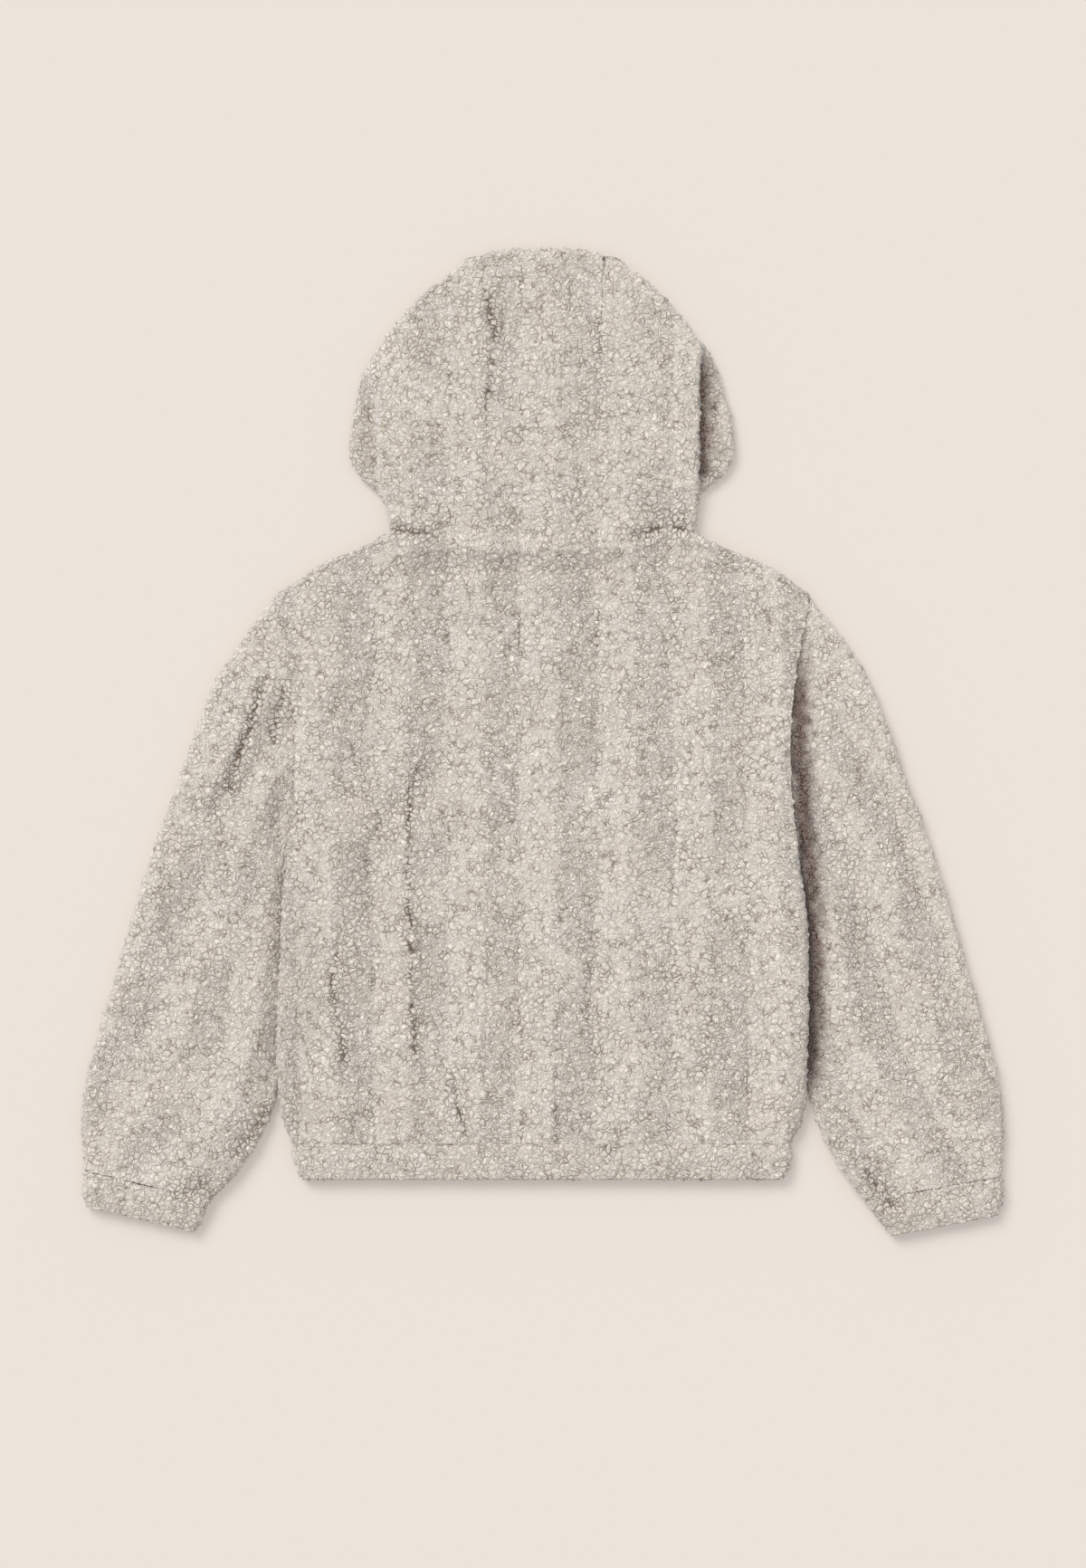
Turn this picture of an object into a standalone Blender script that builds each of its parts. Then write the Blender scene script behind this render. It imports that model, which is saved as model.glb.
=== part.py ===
"""Hooded fleece jacket, laid flat on its front, seen with its back up.

Frame: X to the picture's right, Y towards the hood, Z up off the surface. The origin is the middle
of the jacket's outline, on the surface. Lengths in the tables are millimetres; meshes are metres.

Every piece of cloth is a wall between an outer and an inner sheet of points. A sheet is worked out
from rows of a short table: body and hood rows run across the jacket at one height, and a sleeve's
rows run from its underarm fold to its outer fold.
"""
import math

import bmesh
import bpy
import numpy as np
from mathutils import Matrix

MM = 0.001

# ---------------------------------------------------------------- driving sizes, millimetres
WALL = 7.5            # fleece: knitted backing plus curled pile
HOOD_WALL = 6.0       # the hood's pile is pressed by its folds
LAYER_GAP = 3.8       # air left between two layers that lie on each other
LAID = 2 * WALL + LAYER_GAP
ROUND = LAID / 2      # outer radius of a plain fold
SEAM = 0.3            # room between two pieces at a seam
NECK_ROOM = 1.1       # added where the neck seam turns round the side fold
NECK_TURN = 23.5      # how far in from the side fold that room starts

NECK_HALF = 162.0     # neck seam, half its width
FRONT_EDGE = 8.0      # half the channel that the zip lies in

UNDERARM = (273.0, -126.0)
SHOULDER = (285.0, 153.0)
ARMHOLE_BOW = 16.0    # the armhole seam curves in towards the body

LIFT_REACH = 45.0     # width of the body's side that lies up on the sleeve
LIFT_SLOPE = 38.0     # the inner part of that width, over which the side rises

# Body outline. closed: 1 where the side is a fold, 0 where it is the open armhole.
# lift: how far the side stands up on the sleeve that is tucked under it.
# back_dip, front_dip: how far the row sags towards the hem at the middle.
BODY = {
    "y":         (-427, -409, -377, -335, -285, -235, -190, -155, -126, -112, -70, -20,
                  35, 85, 125, 145, 153, 167, 180, 191, 205, 214, 223),
    "left":      (266, 274, 280, 282, 281, 279, 277, 275, 273, 0, 0, 0,
                  0, 0, 0, 0, 285, 268, 250, 231, 194, 178, 162),
    "right":     (264, 274, 280, 281, 282, 282, 281, 277, 273, 0, 0, 0,
                  0, 0, 0, 0, 285, 269, 251, 232, 196, 178, 162),
    "closed":    (1, 1, 1, 1, 1, 1, 1, 1, 1, 0, 0, 0,
                  0, 0, 0, 0, 1, 1, 1, 1, 1, 1, 1),
    "lift":      (0, 1, 4, 9, 11, 11, 10.5, 8.5, 4, 3, 2.5, 2.5,
                  2.5, 2.5, 2, 1, 0, 0, 0, 0, 0, 0, 0),
    "back_dip":  (0, 0, 0, 0, 0, 0, 0, 0, 0, 0, 0, 0,
                  0, 0, 0, 1, 2, 4, 6, 8, 10, 11.5, 13),
    "front_dip": (0, 0, 0, 0, 0, 0, 0, 0, 0, 0, 0, 2,
                  6, 12, 21, 27, 31, 39, 47, 54, 63, 69, 75),
}

# Hem band outline, seam to folded edge. puff: how full the band is, 1 is a plain fold.
HEM = {
    "y":     (-427.3, -436, -450, -460, -465),
    "left":  (265.5, 266, 264, 260, 255),
    "right": (263.5, 265, 264, 261, 257),
    "puff":  (0.94, 1.04, 1.04, 0.96, 0.86),
}

# Sleeve rows from the armhole to the cuff seam: outer fold and underarm fold. inner_h: height of
# the underarm fold, which is pressed thin where it is tucked under the body. reach: width over
# which the sleeve grows from there to its full height. left_: how far the left sleeve's points
# lie from the right sleeve's, mirrored.
SLEEVE = {
    "outer_x": (285, 319, 351, 371, 388, 407, 424, 440, 455, 471, 485, 491, 488),
    "outer_y": (153, 111, 60, 8, -43, -92, -143, -196, -248, -302, -358, -412, -462),
    "inner_x": (273, 275.5, 273, 270, 268.5, 268.5, 270.5, 275, 281.5, 291, 305, 322, 342),
    "inner_y": (-126, -152, -182, -213, -244, -275, -306, -338, -372, -402, -434, -463, -487),
    "inner_h": (13, 9.5, 9, 9, 9, 9, 9, 9, 11, 15, 18, 18.8, 18.8),
    "reach":   (180, 180, 100, 75, 60, 52, 46, 42, 40, 40, 40, 40, 40),
    "bow":     (16, 13, 10, 7, 4, 2, 0, 0, 0, 0, 0, 0, 0),
    "left_outer_y": (0, 0, 0, 0, 0, 0, 0, 0, 0, 0, 2, 5, 7),
    "left_inner_x": (0, 0, 0, 0, 0, 0, 0, 0, 0, 0, 2, 6, 10),
    "left_inner_y": (0, 0, 0, 0, 0, 0, 0, 0, 0, 0, 0, 0, 0),
}
# Cuff rows from the seam to the open end.
CUFF = {
    "outer_x": (488, 490, 485),
    "outer_y": (-462.3, -483, -503),
    "inner_x": (342, 356, 372),
    "inner_y": (-487.3, -506, -525),
    "inner_h": (18.8, 18.8, 16),
    "reach": (40, 40, 40),
    "outer_h": (18.2, 19.8, 16),
    "bow": (0, 0, 0),
    "left_outer_y": (7, 8, 9),
    "left_inner_x": (10, 4, -4),
    "left_inner_y": (0, 2, 4),
}

# Hood side panels. fold: edge of the upper layer. outline: edge of the wing below it.
# fold_z: top of the cloth at the fold. middle_z: top of the cloth at the centre seams.
# rim: inner edge of the lower layer, which is the face opening. pinch closes the crown end.
HOOD = {
    "y":             (223, 236, 249, 263, 277, 292, 306, 335, 364, 385, 400, 421, 440, 460, 479,
                      493, 503, 509),
    "fold_left":     (162, 165, 167, 168, 174, 175, 174.5, 175.5, 179, 184, 182, 173, 161, 143, 124,
                      106, 93, 83),
    "outline_left":  (162, 165, 167, 173, 189, 201, 206, 203, 198, 192, 186, 173, 161, 143, 124,
                      106, 93, 83),
    "fold_right":    (162, 165, 166.5, 166.5, 167, 167.5, 167.5, 167.5, 167.5, 167.5, 168, 170, 157,
                      142, 124, 107, 94, 84),
    "outline_right": (162, 165, 167, 170, 186, 200, 205, 203, 196, 189, 184, 171, 157, 142, 124,
                      107, 94, 84),
    "fold_z":        (18.8, 19, 19.5, 21.5, 24, 24, 24, 24, 24, 24, 23.5, 20, 19, 18.8, 18.8,
                      18.8, 18.8, 18.8),
    "middle_z":      (18.8, 19, 19.5, 20, 20.5, 21, 21, 21, 21, 21, 20.5, 20, 19.5, 19.2, 19,
                      18.8, 18.8, 18.8),
    "rim":           (10, 28, 42, 53, 62, 70, 77, 86, 90, 88, 84, 74, 63, 63, 63.5, 64, 64, 64),
    "seam":          (52, 53, 54, 55, 56, 57, 58, 60, 61, 61.5, 62, 62.5, 63, 63, 63.5, 64, 64, 64),
    "back_dip":      (13, 10, 7, 4, 2, 1, 0, 0, 0, 0, 0, 0, 0, 0, 0, 0, 0, 0),
    "front_dip":     (75, 64, 54, 44, 35, 27, 20, 9, 2, 0, 0, 0, 0, 0, 0, 0, 0, 0),
    "pinch":         (1, 1, 1, 1, 1, 1, 1, 1, 1, 1, 1, 1, 1, 1, 1, 0.98, 0.82, 0.5),
}
CROWN_Y = 525.0       # top of the hood
CROWN_DROP = 8.0      # how far the crown falls away beside its two seams
CROWN_START = 493.0   # where the centre strip starts to turn over the crown
BROW_MIDDLE = 467.0   # halfway from there down to the brow, on the lower layer
BROW_Y = 440.0        # where the centre strip ends, at the face opening
WING_TOP = 13.5       # top of the wing, two pressed layers
WING_LEAST = 10.0     # a wing narrower than this blends into a plain fold
WING_STEP = 10.5      # least height of the upper layer's fold above the wing
FOLD_BROW = 7.0       # outer radius of that fold
FOLD_FOOT = 3.0       # radius where it comes down on the wing
FOLD_REACH = 60.0     # width over which the upper layer rises to its fold

# The largest folds of the upper layer, as soft valleys (positive depth) and rolls (negative).
VALLEY_MOST = 2.8     # the layers lie on each other, so no valley is deeper
FOLDS = (
    # x0,   y0,   x1,   y1, half width, depth
    (-150, 183, 80, 186, 22, 2.6),      # valley under the neck roll
    (-110, 205, 110, 206, 14, -1.6),    # neck roll
    (-105, 10, -165, -85, 26, 2.6),     # valley that runs down to the left
    (-165, -85, -225, -290, 30, 2.8),
    (-140, -60, -136, -300, 24, 2.2),
    (55, -180, 52, -360, 24, 2.0),
    (178, -270, 170, -370, 24, 2.2),
)
PRESSED_FROM = 11.3   # sleeve cloth lower than this is tucked under the body and takes no fold
SLEEVE_FOLD_END = 0.1 # share of the sleeve's length over which a fold fades
SLEEVE_FOLDS = (
    # outer share of the width, place along the sleeve (0 to 1), length, half width, depth
    (0.38, 0.22, 0.30, 0.10, 3.0),
    (0.62, 0.55, 0.30, 0.12, 2.0),
    (0.25, 0.78, 0.18, 0.12, 2.4),
)

# Zip, millimetres. It is sewn to the inside of the fronts, so its outer side looks down.
CHAIN_HALF = 2.9
CHAIN_Z = (7.1, 9.5)
TAPE_X = (3.2, 17.0)
TAPE_Z = (7.8, 8.8)
ZIP_BOTTOM = -462.0
ZIP_TOP = 147.0
BOX_LENGTH = 8.0
BOX_LIP = 0.4         # the box is thicker than the chain by this much each side
CHAIN_TOP = 137.0     # the chain runs up into the slider
SLIDER_Y = (129.0, 142.0)
SLIDER_HALF = 4.5
SLIDER_OUTER_Z = (5.7, 6.9)
SLIDER_INNER_Z = (9.7, 10.9)
POST_HALF = 2.4       # the post that joins the slider's two plates
POST_Y = (138.0, 141.5)
POST_Z = (6.2, 10.4)
BAIL_Y = 136.0
BAIL_Z = 3.9
BAIL_RADII = (1.1, 2.0)
BAIL_HALF = 1.2
PULL_SIZE = (7.0, 26.0, 1.2)
PULL_BAR = 1.2
PULL_SLOT = (3.4, 3.2)
PULL_CORNER = 1.2     # corners cut off at the bail's end
PULL_TIP = 1.5        # corners cut off at the free end
PULL_TAPER = 0.4      # the tab narrows by this much each side

FLEECE_COLOUR = (0.60, 0.54, 0.47, 1.0)
TAPE_COLOUR = (0.55, 0.49, 0.42, 1.0)
METAL_COLOUR = (0.62, 0.60, 0.56, 1.0)

ARC_STEPS = 3         # facets in a quarter of a body fold
FOLD_STEPS = 4        # facets in a sleeve fold
BACK_STEPS = 14       # facets across the flat of the back
FRONT_STEPS = 7
HEM_STEPS = 3
SLEEVE_STEPS = 6
HOOD_STEPS = 3
STRIP_STEPS = 4
CROWN_STEPS = 6


# ---------------------------------------------------------------- helpers
def smooth(value):
    """0 to 1 with soft ends."""
    value = np.clip(value, 0.0, 1.0)
    return value * value * (3.0 - 2.0 * value)


def valley(x, y, folds):
    """Height change of the laid cloth at x, y from its largest folds."""
    height = np.zeros_like(x)
    for x0, y0, x1, y1, half_width, depth in folds:
        run = np.array((x1 - x0, y1 - y0))
        along = ((x - x0) * run[0] + (y - y0) * run[1]) / run.dot(run)
        near = np.clip(along, 0.0, 1.0)
        distance = np.hypot(x - x0 - near * run[0], y - y0 - near * run[1])
        height -= depth * np.exp(-(distance / half_width) ** 2)
    return VALLEY_MOST * np.tanh(height / VALLEY_MOST)


def armhole_x(y):
    """The armhole seam's distance from the middle, at height y."""
    share = (y - UNDERARM[1]) / (SHOULDER[1] - UNDERARM[1])
    straight = UNDERARM[0] + share * (SHOULDER[0] - UNDERARM[0])
    return straight - ARMHOLE_BOW * 4.0 * share * (1.0 - share)


def armhole_line(y):
    """The same seam as the body's facets follow it, for the sleeve to meet."""
    knots = [knot for knot in BODY["y"] if UNDERARM[1] <= knot <= SHOULDER[1]]
    return np.interp(y, knots, [armhole_x(knot) for knot in knots])


def material(name, colour, roughness, metallic=0.0):
    made = bpy.data.materials.new(name)
    made.use_nodes = True
    shader = made.node_tree.nodes["Principled BSDF"]
    shader.inputs["Base Color"].default_value = colour
    shader.inputs["Roughness"].default_value = roughness
    shader.inputs["Metallic"].default_value = metallic
    return made


def add_object(name, mesh, look):
    made = bpy.data.objects.new(name, mesh)
    mesh.materials.clear()
    mesh.materials.append(look)
    garment.objects.link(made)
    mesh.shade_smooth()
    mesh.set_sharp_from_angle(angle=math.radians(40.0))
    return made


def cloth_wall(name, outer, inner, look, ring=False):
    """A closed wall between two sheets of points, rows by columns by 3, in millimetres."""
    rows, columns = outer.shape[:2]
    mesh = bpy.data.meshes.new(name)
    form = bmesh.new()
    sheets = [[[form.verts.new(point * MM) for point in row] for row in sheet]
              for sheet in (outer, inner)]
    steps = columns if ring else columns - 1
    for sheet in sheets:
        for i in range(rows - 1):
            for j in range(steps):
                k = (j + 1) % columns
                form.faces.new((sheet[i][j], sheet[i][k], sheet[i + 1][k], sheet[i + 1][j]))
    over, under = sheets
    for i in (0, rows - 1):
        for j in range(steps):
            k = (j + 1) % columns
            form.faces.new((over[i][j], over[i][k], under[i][k], under[i][j]))
    if not ring:
        for j in (0, columns - 1):
            for i in range(rows - 1):
                form.faces.new((over[i][j], over[i + 1][j], under[i + 1][j], under[i][j]))
    bmesh.ops.recalc_face_normals(form, faces=form.faces)
    bmesh.ops.triangulate(form, faces=form.faces)
    form.to_mesh(mesh)
    form.free()
    return add_object(name, mesh, look)


# ---------------------------------------------------------------- body
def body_half(row, side):
    """Half width of the body's outline or of its armhole seam, at a row of the table."""
    y = BODY["y"][row]
    if BODY["closed"][row] and y not in (UNDERARM[1], SHOULDER[1]):
        return BODY[side][row]
    return armhole_x(y) - SEAM / 2


def section_shares(steps, half_only):
    """Places across a body section: (0 to 1 across the flat, 0 to 1 round the fold), and its side."""
    flat = [(k / steps, 0.0) for k in range(steps)]
    turn = [(1.0, k / ARC_STEPS) for k in range(ARC_STEPS + 1)]
    right = [(1.0, *share) for share in flat + turn]
    if half_only:
        return right
    left = [(-1.0, *share) for share in reversed(flat[1:] + turn)]
    return left + right


def body_sheets(layer, shares, inner_edge):
    """Outer and inner sheet of the body's upper or lower layer."""
    outer = np.zeros((len(BODY["y"]), len(shares), 3))
    inner = np.zeros_like(outer)
    dips = BODY["back_dip"] if layer == "upper" else BODY["front_dip"]
    for i, y in enumerate(BODY["y"]):
        closed, lift = BODY["closed"][i], BODY["lift"][i]
        for j, (side, flat, turn) in enumerate(shares):
            half = body_half(i, "right" if side > 0 else "left")
            sine, drop = math.sin(turn * math.pi / 2), 1.0 - math.cos(turn * math.pi / 2)
            flat_x = inner_edge + (half - ROUND - inner_edge) * flat
            reach = ROUND if layer == "upper" else ROUND - SEAM
            x_out = flat_x + ROUND * sine
            x_in = flat_x + (ROUND - closed * WALL) * sine
            z_out = closed * reach * drop
            z_in = WALL + closed * (reach - WALL) * drop
            if layer == "upper":
                z_out, z_in = LAID - z_out, LAID - z_in
            rise = lift * float(smooth((x_out - (half - LIFT_REACH)) / LIFT_SLOPE))
            dip = dips[i] * (1.0 - min(1.0, (x_out / half) ** 2))
            outer[i, j] = (side * x_out, y - dip, z_out + rise)
            inner[i, j] = (side * x_in, y - dip, z_in + rise)
    if layer == "upper":
        change = valley(outer[..., 0], outer[..., 1], FOLDS)
        outer[..., 2] += change
        inner[..., 2] += change
    return outer, inner


def make_body(look):
    """Back and fronts. Returns the two halves of the neck seam, for the hood to meet."""
    outer, inner = body_sheets("upper", section_shares(BACK_STEPS // 2, False), 0.0)
    cloth_wall("back", outer, inner, look)
    neck = {"upper": outer[-1][outer[-1, :, 0] >= 0.0]}
    shares = section_shares(FRONT_STEPS, True)
    outer, inner = body_sheets("lower", shares, FRONT_EDGE)
    cloth_wall("front_right", outer, inner, look)
    neck["lower"] = outer[-1]
    shares = [(-side, flat, turn) for side, flat, turn in shares]
    outer, inner = body_sheets("lower", shares, FRONT_EDGE)
    cloth_wall("front_left", outer, inner, look)
    return neck


def band_side(half, radius, wall):
    """Half of the band's section, from the zip out, round the side fold and in over the back."""
    middle = max(ROUND, radius)
    points = []
    for k in range(HEM_STEPS):
        x = FRONT_EDGE + (half - radius - FRONT_EDGE) * k / HEM_STEPS
        points.append((x, middle - radius, x, middle - radius + wall))
    for k in range(2 * ARC_STEPS + 1):
        angle = math.pi * k / (2 * ARC_STEPS)
        sine, cosine = math.sin(angle), math.cos(angle)
        points.append((half - radius + radius * sine, middle - radius * cosine,
                       half - radius + (radius - wall) * sine, middle - (radius - wall) * cosine))
    for k in range(1, HEM_STEPS + 1):
        x = (half - radius) * (1.0 - k / HEM_STEPS)
        points.append((x, middle + radius, x, middle + radius - wall))
    return np.array(points)


def make_hem_band(look):
    """One band all round, open at the zip."""
    outer, inner = [], []
    for y, left, right, puff in zip(*HEM.values()):
        right_half = band_side(right, ROUND * puff, WALL * puff)
        left_half = band_side(left, ROUND * puff, WALL * puff)[-2::-1] * (-1.0, 1.0, -1.0, 1.0)
        section = np.concatenate((right_half, left_half))
        height = np.full(len(section), y)
        outer.append(np.column_stack((section[:, 0], height, section[:, 1])))
        inner.append(np.column_stack((section[:, 2], height, section[:, 3])))
    cloth_wall("hem_band", np.array(outer), np.array(inner), look)


# ---------------------------------------------------------------- sleeves and cuffs
def fold_ring(width, inner_height, outer_height, reach_in, wall):
    """Outer and inner loop of a flattened tube: distance from the underarm fold, and height."""
    r_in, r_out = inner_height / 2, outer_height / 2
    wall_in = min(wall, r_in - 0.3)
    outer_loop, inner_loop = [], []

    def add_turn(centre, radius, cloth, start):
        for k in range(FOLD_STEPS):
            angle = start - math.pi * k / FOLD_STEPS
            for loop, reach in ((outer_loop, radius), (inner_loop, radius - cloth)):
                loop.append((centre + reach * math.cos(angle), radius + reach * math.sin(angle)))

    def add_run(first, last, top):
        for k in range(SLEEVE_STEPS):
            place = first + (last - first) * k / SLEEVE_STEPS
            share = float(smooth((place - r_in) / reach_in))
            height = inner_height + (outer_height - inner_height) * share
            cloth = wall_in + (wall - wall_in) * share
            outer_loop.append((place, height if top else 0.0))
            inner_loop.append((place, height - cloth if top else cloth))

    add_turn(r_in, r_in, wall_in, -math.pi / 2)
    add_run(r_in, width - r_out, True)
    add_turn(width - r_out, r_out, wall, math.pi / 2)
    add_run(width - r_out, r_in, False)
    return outer_loop, inner_loop


def tube_sheets(table, side, outer_heights):
    """Sheets of a flattened tube whose rows run from its underarm fold to its outer fold."""
    sheets = ([], [])
    for i in range(len(table["outer_x"])):
        far = np.array((table["outer_x"][i], table["outer_y"][i]), dtype=float)
        near = np.array((table["inner_x"][i], table["inner_y"][i]), dtype=float)
        if side < 0:
            far += (0.0, table["left_outer_y"][i])
            near += (table["left_inner_x"][i], table["left_inner_y"][i])
        run = far - near
        width = float(np.hypot(*run))
        loops = fold_ring(width, table["inner_h"][i], outer_heights[i], table["reach"][i], WALL)
        for sheet, loop in zip(sheets, loops):
            line = []
            for place, height in loop:
                share = place / width
                x, y = near + run * share
                x -= table["bow"][i] * 4.0 * share * (1.0 - share)
                if table is SLEEVE and i == 0:
                    x = armhole_line(y) + SEAM / 2
                line.append((x * side, y, height))
            sheet.append(line)
    return np.array(sheets[0]), np.array(sheets[1])


def press_folds(outer, inner):
    """The sleeve's largest folds, on its upper layer."""
    top = outer[..., 2] > PRESSED_FROM
    along = np.linspace(0.0, 1.0, outer.shape[0])[:, None]
    far_column = FOLD_STEPS + SLEEVE_STEPS
    near_edge, far_edge = outer[:, :1, :2], outer[:, far_column:far_column + 1, :2]
    width = np.linalg.norm(far_edge - near_edge, axis=2)
    across = np.linalg.norm(outer[..., :2] - near_edge, axis=2) / width
    for place, start, length, half_width, depth in SLEEVE_FOLDS:
        shape = np.exp(-((across - place) / half_width) ** 2)
        ends = (smooth((along - start) / SLEEVE_FOLD_END)
                * smooth((start + length - along) / SLEEVE_FOLD_END))
        change = np.where(top, depth * shape * ends, 0.0)
        outer[..., 2] -= change
        inner[..., 2] -= change


def make_sleeves(look):
    for name, side in (("left", -1.0), ("right", 1.0)):
        outer, inner = tube_sheets(SLEEVE, side, (LAID,) * len(SLEEVE["outer_x"]))
        press_folds(outer, inner)
        cloth_wall("sleeve_" + name, outer, inner, look, ring=True)
        outer, inner = tube_sheets(CUFF, side, CUFF["outer_h"])
        cloth_wall("cuff_" + name, outer, inner, look, ring=True)


# ---------------------------------------------------------------- hood
def plain_turn(fold, top, wall, count):
    """Outer and inner points round a plain fold, from its top to its foot."""
    radius = top / 2
    outer, inner = [], []
    for k in range(count):
        angle = math.pi / 2 - math.pi * k / (count - 1)
        for line, reach in ((outer, radius), (inner, radius - wall)):
            line.append((fold - radius + reach * math.cos(angle), radius + reach * math.sin(angle)))
    return np.array(outer), np.array(inner)


def wing_turn(fold, outline, top, wall):
    """Outer and inner points down the upper fold, out along the wing and round its edge."""
    tip = WING_TOP / 2
    slant = math.sqrt(0.5)
    outer, inner = [], []

    def add(x, z, radius, direction):
        reach = radius * np.array(direction)
        cloth = wall * np.array(direction)
        outer.append((x + reach[0], z + reach[1]))
        inner.append((x + reach[0] - cloth[0], z + reach[1] - cloth[1]))

    for direction in ((0, 1), (slant, slant), (1, 0)):
        add(fold - FOLD_BROW, top - FOLD_BROW, FOLD_BROW, direction)
    for direction in ((1, 0), (slant, slant), (0, 1)):
        centre_x, centre_z = fold + FOLD_FOOT, WING_TOP + FOLD_FOOT
        for line, reach in ((outer, FOLD_FOOT), (inner, FOLD_FOOT + wall)):
            line.append((centre_x - reach * direction[0], centre_z - reach * direction[1]))
    for k in range(5):
        angle = math.pi / 2 - math.pi * k / 4
        add(outline - tip, tip, tip, (math.cos(angle), math.sin(angle)))
    return np.array(outer), np.array(inner)


def neck_line(neck, layer, x):
    """The hood's edge along the neck seam, just clear of the body's."""
    seam = neck[layer]
    room = SEAM + NECK_ROOM * float(smooth((abs(x) - NECK_HALF + NECK_TURN) / ROUND))
    return np.interp(abs(x), seam[:, 0], seam[:, 1]) + room


def hood_sheets(name, side, neck):
    """A side panel: upper layer, fold, wing, then the lower layer in to the face opening."""
    sheets = ([], [])
    for i, y in enumerate(HOOD["y"]):
        fold, outline = HOOD["fold_" + name][i], HOOD["outline_" + name][i]
        top, wall = HOOD["fold_z"][i], HOOD_WALL
        spread = max(outline - fold, WING_LEAST)
        share = float(smooth((outline - fold) / WING_LEAST))
        wing = wing_turn(fold, fold + spread, max(top, WING_TOP + WING_STEP), wall)
        plain = plain_turn(outline, top, wall, len(wing[0]))
        turns = [share * a + (1.0 - share) * b for a, b in zip(wing, plain)]
        seam = HOOD["seam"][i] + SEAM / 2
        rim = HOOD["rim"][i] + (SEAM / 2 if y >= BROW_Y else 0.0)
        middle, first, last = HOOD["middle_z"][i], turns[0][0], turns[0][-1]
        line = [[], []]
        for k in range(HOOD_STEPS):
            x = seam + (first[0] - seam) * k / HOOD_STEPS
            rise = float(smooth(1.0 - (first[0] - x) / FOLD_REACH))
            level = middle + (first[1] - middle) * rise
            line[0].append((x, level))
            line[1].append((x, level - wall))
        for k in (0, 1):
            line[k].extend(turns[k])
        for k in range(1, HOOD_STEPS + 1):
            x = last[0] + (rim - last[0]) * k / HOOD_STEPS
            line[0].append((x, 0.0))
            line[1].append((x, wall))
        upper_count = HOOD_STEPS + int(np.sum(turns[0][:, 1] > ROUND - 0.01))
        for j, (over, under) in enumerate(zip(*line)):
            layer = "upper" if j < upper_count else "lower"
            depth = HOOD["back_dip"][i] if layer == "upper" else HOOD["front_dip"][i]
            place = y - depth * (1.0 - min(1.0, (over[0] / NECK_HALF) ** 2))
            if i == 0:
                place = neck_line(neck, layer, over[0])
            for sheet, (x, z) in zip(sheets, (over, under)):
                if j == 0:
                    sheet.append([])
                sheet[-1].append((x * side, place, ROUND + (z - ROUND) * HOOD["pinch"][i]))
    return np.array(sheets[0]), np.array(sheets[1])


def strip_sheets(neck):
    """The centre strip: up from the neck, over the crown and down to the brow."""
    top_y = [y for y in HOOD["y"] if y <= CROWN_START]
    path = []
    for i, y in enumerate(top_y):
        path.append((y, HOOD["middle_z"][i], 0.0, 1.0, HOOD["seam"][i], HOOD["back_dip"][i]))
    radius = LAID / 2
    for k in range(CROWN_STEPS + 1):
        angle = math.pi / 2 - math.pi * k / CROWN_STEPS
        y, z = CROWN_Y - radius, radius
        path.append((y + radius * math.cos(angle), z + radius * math.sin(angle),
                     math.cos(angle), math.sin(angle), HOOD["seam"][-1], 0.0))
    for y in (CROWN_START, BROW_MIDDLE, BROW_Y):
        path.append((y, 0.0, 0.0, -1.0, float(np.interp(y, HOOD["y"], HOOD["rim"])), 0.0))
    outer, inner = [], []
    for y, z, lean_y, lean_z, half, dip in path:
        half -= SEAM / 2
        over, under = [], []
        for k in range(STRIP_STEPS + 1):
            share = 2.0 * k / STRIP_STEPS - 1.0
            x = half * share
            sag = dip * (1.0 - (x / NECK_HALF) ** 2)
            place = y - sag - lean_y * CROWN_DROP * abs(share) ** 6
            if not outer:
                place = neck_line(neck, "upper", x)
            over.append((x, place, z))
            under.append((x, place - lean_y * HOOD_WALL, z - lean_z * HOOD_WALL))
        outer.append(over)
        inner.append(under)
    return np.array(outer), np.array(inner)


def make_hood(look, neck):
    for name, side in (("left", -1.0), ("right", 1.0)):
        outer, inner = hood_sheets(name, side, neck)
        cloth_wall("hood_" + name, outer, inner, look)
    outer, inner = strip_sheets(neck)
    cloth_wall("hood_centre", outer, inner, look)


# ---------------------------------------------------------------- zip
def box_mesh(name, low, high):
    """A box between two corners, in millimetres."""
    mesh = bpy.data.meshes.new(name)
    form = bmesh.new()
    low, high = np.array(low), np.array(high)
    bmesh.ops.create_cube(form, size=1.0)
    for vertex in form.verts:
        vertex.co = ((low + high) / 2 + (high - low) * np.array(vertex.co)) * MM
    form.to_mesh(mesh)
    form.free()
    return mesh


def join_solids(target, tool, operation):
    """Apply one Boolean to target and drop the tool."""
    change = target.modifiers.new("join", "BOOLEAN")
    change.operation = operation
    change.object = tool
    bpy.context.view_layer.update()
    shape = bpy.data.meshes.new_from_object(target.evaluated_get(bpy.context.evaluated_depsgraph_get()))
    target.modifiers.clear()
    target.data = shape
    bpy.data.objects.remove(tool)


def round_bar(name, radius, half, sides, look):
    """A cylinder along X at the bail, in millimetres."""
    mesh = bpy.data.meshes.new(name)
    form = bmesh.new()
    place = Matrix.Translation((0.0, BAIL_Y * MM, BAIL_Z * MM)) @ Matrix.Rotation(math.pi / 2, 4, "Y")
    bmesh.ops.create_cone(form, cap_ends=True, segments=sides, radius1=radius * MM,
                          radius2=radius * MM, depth=2 * half * MM, matrix=place)
    form.to_mesh(mesh)
    form.free()
    return add_object(name, mesh, look)


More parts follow.
